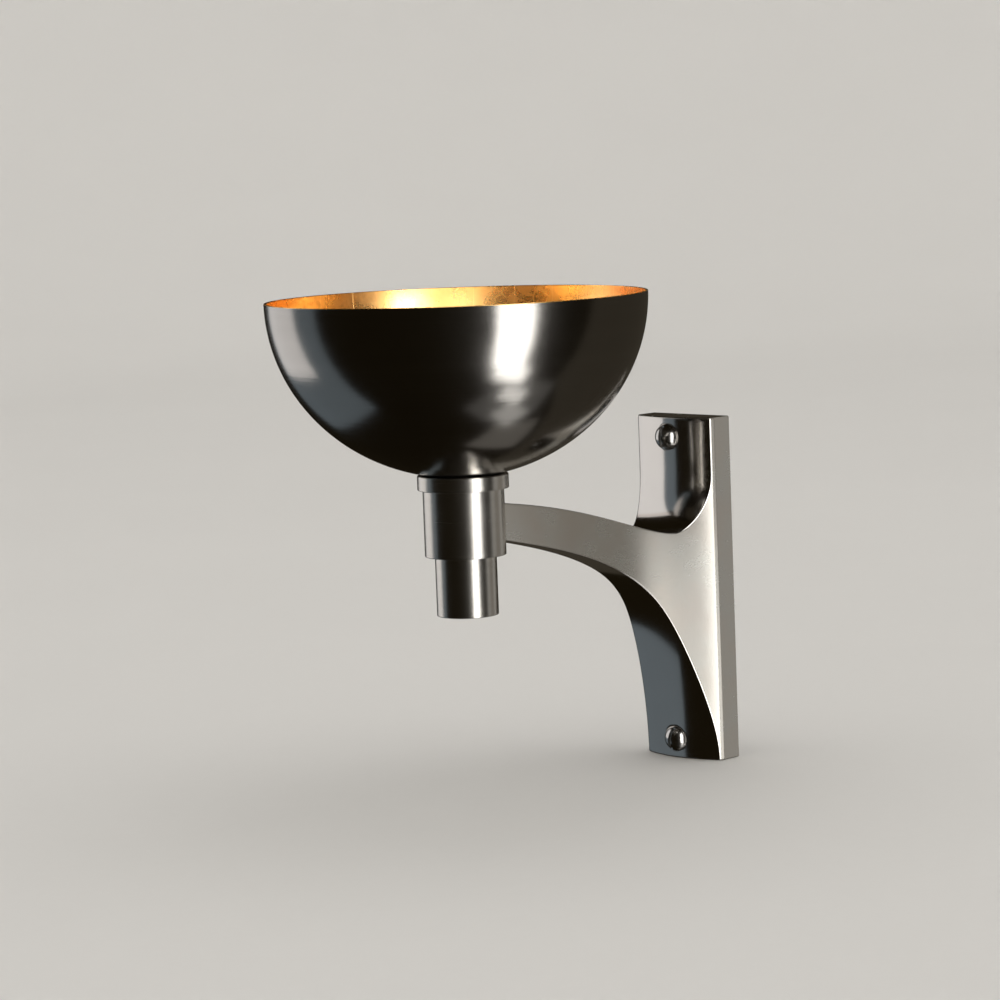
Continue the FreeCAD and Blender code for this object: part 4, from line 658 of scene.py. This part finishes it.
class SCONCE_OT_turned(bpy.types.Operator):
    """Builds the cup, the seat collar and the lower sleeve as lathe-turned pieces"""
    bl_idname = "sconce.turned"
    bl_label = "Cup, collar and sleeve"

    def execute(self, context):
        sizes = context.scene.sconce.turned
        finish = turned_finish(sizes)
        edge, hole = sizes.edge_round, HOLE_RADIUS
        base, top, seat, foot = CUP_LOW.z, CUP_HIGH.z, COLLAR_HIGH.z, SLEEVE_LOW.z
        floor = base + .0035
        cup = eased([(hole, base), (CUP_RADIUS, base), (CUP_RADIUS, top), (CUP_INSIDE, top),
                     (CUP_INSIDE, floor), (hole, floor)], [.0003, edge, .0003, .0003, .0006, .0003])
        piece = turned_piece("turned_cup", cup, 160, finish, "lamp_cup")
        carve(piece, [cutter_from_grid(bore(0.0, ARM_HOLE, hole, 40, -.1576, -.180))])
        inside, ring_in, ring_out, outside, ring_foot = .015, .01655, .01935, .024, top - .004
        collar = eased([(inside, top), (ring_in, top - .001), (ring_in, ring_foot), (ring_out, ring_foot),
                        (ring_out, top), (outside, top), (outside, seat), (inside, seat)],
                       [.0002, .0002, .0003, .0003, .0001, edge, .001, .0004], 7)
        turned_piece("turned_collar", collar, 160, finish, "seat_collar")
        outside, inside, boss = .01625, .01465, .008
        web, floor, boss_top = foot + .0022, foot + .0035, foot + .012
        sleeve = eased([(0, foot), (outside, foot), (outside, base), (inside, base), (inside, web),
                        (boss, web), (boss, boss_top), (hole, boss_top), (hole, floor), (0, floor)],
                       [0, edge, .0002, .0003, .0006, .0006, .0003, .0003, .0003, 0])
        turned_piece("turned_sleeve", sleeve, 128, finish, "lower_sleeve")
        return {"FINISHED"}


# ---------------------------------------------------------------- the spun bowl

def oval(radius, depth, rim, low, high, drop):
    """Part of an oval as (r, h): r = radius sin a and h = rim - depth cos a, between two angles and
    below the rim by more than the drop."""
    angle = np.linspace(low, high, 90)
    curve = np.stack([radius * np.sin(angle), rim - depth * np.cos(angle)], axis=-1)
    return curve[curve[:, 1] < rim - drop]


def bowl_finish(sizes):
    finish = Finish("dark_nickel", Metallic=1.0)
    away, height = finish.round_the_cup()
    run = height * 0.8 - away * 0.6
    rings = finish.ripple(run, 2600.0, 3.0)
    bands = finish.ripple(run, 240.0, 2.0)
    cloud = finish.noise(finish.place(), 34.0, 3.0, 0.55)
    gloss = sizes.roughness
    finish.surface(bands * 0.35 + cloud * 0.65, tint(sizes.colour, 0.90), tint(sizes.colour, 1.08),
                   gloss * 0.7 + cloud * (gloss * 0.4) + rings * (gloss * 0.3))
    finish.bump(rings * 0.7 + bands * 0.4, 0.00006, 0.5)
    return finish


def leaf_finish(sizes):
    """Gold leaf: square leaves laid in rows round the bowl, with seams, fine cracks and worn spots.
    The rows follow the angle round the cup axis and the height."""
    finish = Finish("gold_leaf", Metallic=1.0)
    axis = finish.parts(finish.place(shift=(0.0, AXIS_DEPTH, 0.0)))
    angle = axis["X"].maths("ARCTAN2", axis["X"], axis["Y"])
    laid = finish.node("ShaderNodeCombineXYZ", {}, {0: angle * 4.3, 1: axis["Z"] * 34.0, 2: 0.0})[0]
    leaves = finish.node("ShaderNodeTexBrick", {"offset": 0.37, "squash": 1.0},
                         {"Vector": laid, "Scale": 1.0, "Brick Width": 1.0, "Row Height": 1.0,
                          "Mortar Size": 0.012, "Mortar Smooth": 0.4, "Bias": 0.0,
                          "Color1": (0.25, 0.25, 0.25, 1.0), "Color2": (0.75, 0.75, 0.75, 1.0),
                          "Mortar": (1.0, 1.0, 1.0, 1.0)})
    seam = leaves["Fac"]
    tone = leaves["Color"] * 1.0
    here = finish.place()
    cloud = finish.noise(here, 70.0, 5.0, 0.62)
    fine = finish.noise(here, 420.0, 4.0, 0.6)
    cracks = finish.node("ShaderNodeTexVoronoi", {"feature": "DISTANCE_TO_EDGE"},
                         {"Vector": here, "Scale": 150.0})[0]
    crack = 1.0 - (cracks * 22.0).kept()
    worn = ((cloud - 0.60) * 7.0).kept() * 0.75
    base = finish.blend((tone * 0.4 + fine * 0.6).kept(), tint(sizes.leaf, 0.78), tint(sizes.leaf, 1.12))
    base = finish.blend((seam * 0.3 + crack * 0.06).kept(), base, tint(sizes.leaf, 1.3))
    finish.surface(worn, base, (0.42, 0.19, 0.06), 0.18 + cloud * 0.20 + crack * 0.03)
    finish.bump(seam * 0.4 + crack * 0.05 + fine * 0.3 + cloud * 1.2, 0.00015, 0.5)
    return finish


class SCONCE_OT_bowl(bpy.types.Operator):
    """Builds the spun bowl: a dark nickel shell and its lining of gold leaf, which wraps the rim"""
    bl_idname = "sconce.bowl"
    bl_label = "Bowl"

    def execute(self, context):
        sizes = context.scene.sconce.bowl
        radius, rim, seat = BOWL_HIGH.x, BOWL_HIGH.z, BOWL_LOW.z
        wall, depth, hole = sizes.wall, sizes.form_depth, sizes.hole_radius
        low = np.arccos((rim - seat) / depth)
        low_in = np.arccos((rim - seat - wall) / (depth - wall))
        outer = oval(radius, depth, rim, low, np.pi / 2, .0006)
        inner = oval(radius - wall, depth - wall, rim, np.pi / 2, low_in, .0004)
        lip = eased([(radius, rim - .0006), (radius, rim - .0002), (radius - .0008, rim - .0002),
                     (radius - wall, rim - .0004)], [0, .0003, .0001, 0])
        shell = np.concatenate([outer, lip, inner, [(hole, seat + wall), (hole, seat)]])
        turned_piece("bowl_shell", shell, sizes.around, bowl_finish(sizes), "bowl")
        proud, sunk, start = wall + .00012, wall - .0003, low_in + .02
        face = oval(radius - proud, depth - proud, rim, start, np.pi / 2, .0005)
        back = oval(radius - sunk, depth - sunk, rim, np.pi / 2, start, .0006)
        lip = eased([(radius - proud, rim - .0004), (radius - proud, rim), (radius - .0001, rim),
                     (radius - .0001, rim - .0003), (radius - .0007, rim - .0004)],
                    [0, .0003, .00015, .0001, 0])
        lining = np.concatenate([face, lip, back])
        turned_piece("bowl_lining", lining, sizes.around, leaf_finish(sizes), "bowl")
        return {"FINISHED"}


# ---------------------------------------------------------------- wall screws

class SCONCE_OT_screws(bpy.types.Operator):
    """Builds the two slotted dome-head wall screws with their threads"""
    bl_idname = "sconce.screws"
    bl_label = "Wall screws"

    def execute(self, context):
        finish = Finish("screw_nickel", Metallic=1.0)
        here = finish.place()
        cloud = finish.noise(here, 260.0, 4.0, 0.6)
        nick = finish.noise(here, 900.0, 2.0)
        finish.surface(cloud, (0.55, 0.53, 0.51), (0.74, 0.72, 0.69), 0.12 + cloud * 0.16)
        finish.bump(cloud * 0.8 + nick * 0.4, 0.00008, 0.6)
        for end, height, turn in (("upper", SCREW_HEIGHT, 0.0), ("lower", -SCREW_HEIGHT, 9.0)):
            piece = piece_from_grids("wall_screw_" + end, [(self.screw(height), False, 0)],
                                     finishes=[finish], replaces=(end + "_wall_screw",))
            slot = soft_box_outline(-.001, .001, -.0095, .0095, .0001, 2)
            lean = np.radians(turn)
            slot = slot @ np.array([[np.cos(lean), -np.sin(lean)], [np.sin(lean), np.cos(lean)]])
            carve(piece, [cutter_from_grid(straight_cut(slot + np.array([0.0, height]), -.0236, -.0290))])
        return {"FINISHED"}

    @staticmethod
    def screw(height):
        """A screw turned about a line along Y: rows of (distance from that line, depth). In the thread
        the distance also falls by a wave of depth / pitch minus angle / full turn."""
        pitch, crest = .001, .0030
        dome = HEAD_RADIUS * np.sin(np.linspace(0.0, np.pi / 2, 22))
        rise = HEAD_TOP - HEAD_RIM
        ball = (HEAD_RADIUS ** 2 + rise ** 2) / (2 * rise)
        head = np.stack([dome, HEAD_TOP - ball + np.sqrt(ball ** 2 - dome ** 2)], axis=-1)
        side = eased([(HEAD_RADIUS, HEAD_RIM), (HEAD_RADIUS, HEAD_SEAT), (.0028, HEAD_SEAT), (.0028, .0001)],
                     [.0001, .0003, .0002, .0001], 4)
        run = np.linspace(-.0003, -.0210, 210)
        thread = np.stack([np.full_like(run, crest), run], axis=-1)
        end = np.array([(.0024, -.0216), (.0018, -.022), (0.0, -.022)])
        rows = np.concatenate([head, side, thread, end])
        angle = np.linspace(0.0, 2 * np.pi, 73)
        r, depth = rows[:, :1], rows[:, 1:]
        turns = depth / pitch - angle / (2 * np.pi)
        wave = np.abs((turns % 1.0) * 2 - 1)
        groove = np.where((depth < -.0003) & (depth > -.0215), .0005 * np.clip(wave * 1.3 - .1, 0, 1), 0.0)
        r = r - groove
        return np.stack([r * np.sin(angle), -depth + 0 * angle, height + r * np.cos(angle)], axis=-1)


# ---------------------------------------------------------------- the lamp

class SCONCE_OT_lamp(bpy.types.Operator):
    """Builds the lit opal globe and dresses the lamp's cap, contact and inner parts"""
    bl_idname = "sconce.lamp"
    bl_label = "Lamp"

    def execute(self, context):
        sizes = context.scene.sconce.lamp
        opal = Finish("opal_glass", Roughness=0.22, IOR=1.5, Emission_Strength=sizes.strength)
        cloud = opal.noise(opal.place(), 45.0)
        height = opal.parts(opal.place())["Z"]
        fade = ((height - .100) * 40.0).kept()
        opal.feed("Base Color", opal.blend(cloud, (0.93, 0.90, 0.85), (0.98, 0.95, 0.90)))
        opal.feed("Emission Color", opal.blend(fade * 0.8 + cloud * 0.2, tint(sizes.glow, 0.45), sizes.glow))
        centre, radius, neck, glass = .1305, .0225, .008, .0009
        angle = np.radians(35.0)

        def wall(radius, neck):
            """Globe and neck as (r, h): a circle's arc, then a curve of three points into the neck."""
            around = np.linspace(0.0, np.pi - angle, 60)
            globe = np.stack([radius * np.sin(around), centre + radius * np.cos(around)], axis=-1)
            joint = globe[-1]
            handle = np.array([neck, joint[1] - (joint[0] - neck) * np.tan(angle)])
            end = np.array([neck, joint[1] - .010])
            s = np.linspace(0.0, 1.0, 14)[1:, None]
            curve = (1 - s) ** 2 * joint + 2 * s * (1 - s) * handle + s ** 2 * end
            return np.concatenate([globe, curve, [(neck, .1004)]])

        outline = np.concatenate([wall(radius, neck), wall(radius - glass, neck - glass)[::-1]])
        turned_piece("lamp_globe", outline, 96, opal, "bulb_globe", body="lamp")
        cap = Finish("lamp_cap_metal", Metallic=1.0)
        cloud = cap.noise(cap.place(), 180.0)
        cap.surface(cloud, (0.70, 0.70, 0.68), (0.86, 0.86, 0.84), 0.25 + cloud * 0.15)
        cap.bump(cap.bands("Z", 48.0), 0.0008, 0.8)
        dress("bulb_cap", cap)
        solder = mottled("lamp_solder", (0.50, 0.50, 0.49), (0.70, 0.70, 0.69), 240.0, 0.42, 1.0)
        dress("bulb_contact", solder)
        black = mottled("lamp_insulator", (0.015, 0.014, 0.014), (0.05, 0.045, 0.042), 160.0, 0.12, 0.0)
        dress("bulb_insulator", black)
        clear = Finish("clear_glass", IOR=1.5, Transmission_Weight=0.9)
        clear.surface(clear.noise(clear.place(), 90.0), (0.90, 0.94, 0.93), (0.99, 1.0, 1.0),
                      0.02 + clear.noise(clear.place(), 60.0) * 0.05)
        dress("bulb_stem", clear)
        wire = Finish("filament_wire", Metallic=1.0, Emission_Strength=8.0)
        heat = wire.noise(wire.place(), 700.0)
        wire.surface(heat, (0.30, 0.28, 0.25), (0.42, 0.40, 0.36), 0.3 + heat * 0.2)
        wire.feed("Emission Color", wire.blend(heat, (1.0, 0.55, 0.20), (1.0, 0.75, 0.45)))
        dress("bulb_filament", wire)
        return {"FINISHED"}


# ---------------------------------------------------------------- pieces kept from the CAD model

def dress(node, finish):
    """Gives a CAD node its material."""
    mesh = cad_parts[node].data
    mesh.materials.clear()
    mesh.materials.append(finish.material)


def mottled(name, dark, light, scale, roughness, metallic, bump=0.00006, coat=0.0):
    """A finish that varies softly between two colours, with a fine grain in its gloss and surface."""
    finish = Finish(name, Metallic=metallic, Coat_Weight=coat)
    here = finish.place()
    cloud = finish.noise(here, scale, 4.0, 0.6)
    grain = finish.noise(here, scale * 6.0, 2.0)
    finish.surface((cloud - 0.25) * 2.0, dark, light,
                   roughness * 0.8 + cloud * (roughness * 0.3) + grain * (roughness * 0.1))
    finish.bump(cloud * 0.5 + grain * 0.5, bump, 0.6)
    return finish


def threaded(name, direction):
    """Brass with a thread along one axis."""
    finish = Finish(name, Metallic=1.0)
    cloud = finish.noise(finish.place(), 150.0, 4.0)
    finish.surface(cloud, (0.56, 0.40, 0.17), (0.78, 0.60, 0.30), 0.28 + cloud * 0.2)
    finish.bump(finish.bands(direction, 160.0), 0.0004, 0.9)
    return finish


class SCONCE_OT_fittings(bpy.types.Operator):
    """Dresses the threaded tubes, nuts, washers, lampholder, contacts and terminals inside the light"""
    bl_idname = "sconce.fittings"
    bl_label = "Inner fittings"

    def execute(self, context):
        brass = mottled("raw_brass", (0.58, 0.41, 0.17), (0.80, 0.62, 0.31), 180.0, 0.30, 1.0)
        steel = mottled("zinc_steel", (0.50, 0.52, 0.55), (0.70, 0.71, 0.70), 210.0, 0.34, 1.0)
        ceramic = mottled("glazed_ceramic", (0.84, 0.82, 0.76), (0.93, 0.92, 0.88), 120.0, 0.16, 0.0,
                          0.0001, 0.5)
        resin = mottled("black_resin", (0.035, 0.035, 0.036), (0.07, 0.068, 0.066), 300.0, 0.38, 0.0)
        ivory = mottled("ivory_plastic", (0.78, 0.74, 0.65), (0.88, 0.85, 0.78), 140.0, 0.42, 0.0)
        for finish, nodes in (
                (brass, ("lampholder_shell", "centre_contact", "holder_terminals", "terminal_barrels",
                         "earth_screw", "earth_tag")),
                (threaded("threaded_brass", "Z"), ("stem_rod",)),
                (threaded("threaded_brass_lying", "Y"), ("arm_nipple",)),
                (steel, ("saddle_washer", "arm_nipple_nut", "floor_lock_washer", "floor_locknut",
                         "bridge_lower_nut", "holder_bridge", "bridge_upper_nut", "bridge_screws",
                         "holder_terminal_screws", "terminal_screws", "block_screw")),
                (ceramic, ("lampholder_body",)), (resin, ("shade_ring",)), (ivory, ("terminal_block",))):
            for node in nodes:
                dress(node, finish)
        return {"FINISHED"}


class SCONCE_OT_wiring(bpy.types.Operator):
    """Dresses the inner wires: brown, blue and green with a yellow stripe"""
    bl_idname = "sconce.wiring"
    bl_label = "Inner wiring"

    def execute(self, context):
        for node, name, dark, light in (
                ("live_wire", "live_insulation", (0.17, 0.075, 0.03), (0.27, 0.13, 0.06)),
                ("neutral_wire", "neutral_insulation", (0.03, 0.15, 0.45), (0.07, 0.24, 0.60))):
            dress(node, mottled(name, dark, light, 240.0, 0.42, 0.0))
        earth = Finish("earth_insulation")
        stripe = earth.noise(earth.place(scale=(700.0, 700.0, 90.0)), 1.0, 0.0).above(0.5)
        grain = earth.noise(earth.place(), 400.0)
        green = earth.blend(grain, (0.10, 0.36, 0.07), (0.16, 0.46, 0.11))
        earth.surface(stripe, green, (0.80, 0.70, 0.10), 0.36 + grain * 0.12)
        earth.bump(grain, 0.00005, 0.5)
        dress("earth_wire", earth)
        return {"FINISHED"}


# ---------------------------------------------------------------- the stage

def direction(azimuth, elevation):
    """The unit direction at two angles in radians, from the front round to the right and up."""
    level = np.cos(elevation)
    return np.array([np.sin(azimuth) * level, -np.cos(azimuth) * level, np.sin(elevation)])


def panel_light(name, middle, azimuth, elevation, width, height, radiance, colour, only=()):
    """A soft panel at a place, which faces away from the direction given in degrees; its power is
    radiance times pi times its area. It lights the pieces named in only, or else all but the floor."""
    way = Vector(direction(np.radians(azimuth), np.radians(elevation)))
    lamp = bpy.data.lights.new(name, "AREA")
    lamp.shape, lamp.size, lamp.size_y = "RECTANGLE", width, height
    lamp.energy, lamp.color = radiance * np.pi * width * height, colour
    holder = linked(name, lamp)
    holder.matrix_world = Matrix.Translation(middle) @ way.to_track_quat("Z", "Y").to_matrix().to_4x4()
    holder.visible_camera = False
    lit = bpy.data.collections.new(name + "_pieces")
    for piece in only or [thing.name for thing in bpy.data.objects if thing.type == "MESH"]:
        if piece != "floor":
            lit.objects.link(bpy.data.objects[piece])
    holder.light_linking.receiver_collection = lit


def towards(azimuth, elevation, distance):
    """The place at a distance from the bowl's middle, in a direction given in degrees."""
    way = Vector(direction(np.radians(azimuth), np.radians(elevation)))
    return Vector((0.0, -0.18, 0.13)) + distance * way


class SCONCE_OT_stage(bpy.types.Operator):
    """Lays the pale floor and sets the soft lights, the surroundings and the camera"""
    bl_idname = "sconce.stage"
    bl_label = "Floor, lights and camera"

    def execute(self, context):
        stage = context.scene.sconce.stage
        self.floor(stage)
        self.surroundings()
        self.lights()
        self.camera(context.scene, stage)
        context.scene.view_settings.view_transform = "Standard"
        return {"FINISHED"}

    @staticmethod
    def camera(scene, stage):
        """The camera looks at a place beside the arm, from its azimuth, elevation and roll."""
        roll, back = stage.roll, direction(stage.azimuth, stage.elevation)
        right = np.array([np.cos(stage.azimuth), np.sin(stage.azimuth), 0.0])
        up = np.cross(back, right)
        target = np.array([0.0, -0.1, 0.0]) - 0.03759 * right + np.array([0.0, 0.0, 0.05885])
        turn = np.eye(4)
        turn[:3, 0] = right * np.cos(roll) + up * np.sin(roll)
        turn[:3, 1] = up * np.cos(roll) - right * np.sin(roll)
        turn[:3, 2] = back
        turn[:3, 3] = target + back * stage.distance
        lens = bpy.data.cameras.new("camera")
        lens.lens, lens.sensor_width = stage.lens, 36.0
        lens.clip_start, lens.clip_end = 0.05, 60.0
        camera = linked("camera", lens)
        camera.matrix_world = Matrix(turn.tolist())
        scene.camera = camera

    @staticmethod
    def lights():
        """A tall window with its glow on the ground, two cards on the left, a faint warm panel behind,
        cards for the sides of the casting and the turned pieces, and panels for the leaf."""
        white, warm = (1.0, 0.99, 0.97), (1.0, 0.95, 0.88)
        metal = ("wall_casting", "turned_cup", "turned_collar", "turned_sleeve")
        for panel in (
                ("window_panel", (0.743, -0.319, 0.067), 79.0, 0.0, 0.30, 1.066, 3.2, white),
                ("window_low", (0.749, -0.261, -0.60), 87.0, 0.0, 0.34, 0.27, 2.6, white),
                ("window_glow", towards(97.0, -57.0, 1.2), 97.0, -57.0, 0.28, 0.20, 1.2, white),
                ("ground_glow", towards(118.0, -68.0, 1.2), 118.0, -68.0, 0.31, 0.25, 0.45, white),
                ("wide_glow", towards(104.0, -62.0, 1.3), 104.0, -62.0, 0.75, 0.75, 0.09, white),
                ("low_glow", towards(175.0, -70.0, 1.3), 175.0, -70.0, 0.50, 0.45, 0.14, warm),
                ("left_card", (-0.743, -0.231, 0.22), -39.5, 0.0, 0.706, 0.72, 0.72, (1.0, 0.94, 0.91)),
                ("left_blue_card", (-0.794, -0.234, -0.05), -39.5, 0.0, 1.15, 1.10, 0.17,
                 (0.70, 0.86, 1.0)),
                ("wall_shade", (0.0, 0.9, 0.0), 178.0, -10.0, 2.4, 2.4, 0.035, (1.0, 0.88, 0.70)),
                ("side_card_near", (0.053, 0.02, 0.0), 180.0, 0.0, 0.05, 0.50, 0.28, white, metal),
                ("side_card", (0.128, 0.02, 0.0), 180.0, 0.0, 0.10, 0.50, 0.15, warm, metal),
                ("side_card_far", (0.239, 0.02, 0.0), 180.0, 0.0, 0.122, 0.50, 0.26, white, metal),
                ("flare_card", (0.443, 0.048, -0.18), 100.0, 0.0, 0.235, 0.30, 0.85, white, metal[:1]),
                ("flare_card_upper", (0.443, 0.048, 0.06), 100.0, 0.0, 0.235, 0.18, 0.20, white, metal[:1])):
            panel_light(*panel)
        for name, azimuth, width, radiance in (
                ("leaf_window", 77.0, 0.36, 7.0), ("leaf_front", 42.0, 0.40, 2.4),
                ("leaf_left", -61.0, 0.40, 1.8)):
            panel_light(name, towards(azimuth, 14.0, 0.9), azimuth, 0.0, width, 0.42, radiance, white,
                        ("bowl_lining",))

    @staticmethod
    def floor(stage):
        """A wide round floor under the light, whose far edge sweeps up: flat rings out to 3 m, then
        r = 3 + 3 sin a and z = 3 (1 - cos a), then upright."""
        turn = np.linspace(0.0, np.pi / 2, 25)
        flat = np.linspace(0.0, 1.0, 30) ** 2 * 3.0
        reach = np.concatenate([flat, 3.0 + 3.0 * np.sin(turn[1:]), [6.0]])[:, None]
        rise = np.concatenate([0 * flat, 3.0 - 3.0 * np.cos(turn[1:]), [7.0]])[:, None]
        angle = np.linspace(0.0, 2 * np.pi, 96, endpoint=False)
        points = np.stack([reach * np.cos(angle), reach * np.sin(angle),
                           CAD_BOX[0][2] - .0002 + rise + 0 * angle], axis=-1)
        paint = Finish("pale_floor", Roughness=0.85)
        cloud = paint.noise(paint.place(), 3.0, 4.0)
        grain = paint.noise(paint.place(), 140.0)
        share = cloud * 0.7 + grain * 0.3
        paint.feed("Base Color", paint.blend(share, tint(stage.floor, 0.97), tint(stage.floor, 1.02)))
        paint.bump(grain, 0.0002, 0.3)
        floor = piece_from_grids("floor", [(points, True, 0)], body=None, finishes=[paint])
        floor.modifiers.clear()
        floor.visible_glossy = False
        floor.visible_shadow = False

    @staticmethod
    def surroundings():
        """Pale surroundings for the eye and for soft light, dark brown ones where metal mirrors them."""
        world = bpy.data.worlds.new("surroundings")
        world.use_nodes = True
        nodes, links = world.node_tree.nodes, world.node_tree.links
        nodes.clear()
        out = nodes.new("ShaderNodeOutputWorld")
        mix = nodes.new("ShaderNodeMixShader")
        rays = nodes.new("ShaderNodeLightPath")
        pale, dark = nodes.new("ShaderNodeBackground"), nodes.new("ShaderNodeBackground")
        pale.inputs["Color"].default_value = (1.30, 1.28, 1.25, 1.0)
        dark.inputs["Color"].default_value = (0.009, 0.0065, 0.003, 1.0)
        links.new(rays.outputs["Is Glossy Ray"], mix.inputs[0])
        links.new(pale.outputs[0], mix.inputs[1])
        links.new(dark.outputs[0], mix.inputs[2])
        links.new(mix.outputs[0], out.inputs["Surface"])
        bpy.context.scene.world = world


# ---------------------------------------------------------------- panel and registration

class SCONCE_PT_panel(bpy.types.Panel):
    """Lists the steps that build the wall light"""
    bl_label = "Uplighter Wall Sconce"
    bl_idname = "SCONCE_PT_panel"
    bl_space_type = "VIEW_3D"
    bl_region_type = "UI"
    bl_category = "Sconce"

    def draw(self, context):
        settings = context.scene.sconce
        for step in STEPS:
            self.layout.operator(step.bl_idname)
        for group in (settings.casting, settings.turned, settings.bowl, settings.lamp, settings.stage):
            box = self.layout.box()
            for prop in group.bl_rna.properties:
                if prop.identifier not in ("rna_type", "name"):
                    box.prop(group, prop.identifier)


GROUPS = (SconceCasting, SconceTurned, SconceBowl, SconceLamp, SconceStage, SconceSettings)
STEPS = (SCONCE_OT_casting, SCONCE_OT_turned, SCONCE_OT_bowl, SCONCE_OT_screws, SCONCE_OT_lamp,
         SCONCE_OT_fittings, SCONCE_OT_wiring, SCONCE_OT_stage)


def register():
    for kind in GROUPS + STEPS + (SCONCE_PT_panel,):
        bpy.utils.register_class(kind)
    bpy.types.Scene.sconce = PointerProperty(type=SconceSettings)


def unregister():
    del bpy.types.Scene.sconce
    for kind in reversed(GROUPS + STEPS + (SCONCE_PT_panel,)):
        bpy.utils.unregister_class(kind)


def main():
    register()
    bpy.ops.sconce.casting()
    bpy.ops.sconce.turned()
    bpy.ops.sconce.bowl()
    bpy.ops.sconce.screws()
    bpy.ops.sconce.lamp()
    bpy.ops.sconce.fittings()
    bpy.ops.sconce.wiring()
    bpy.ops.sconce.stage()
    bpy.context.view_layer.update()


if __name__ == "__main__":
    main()
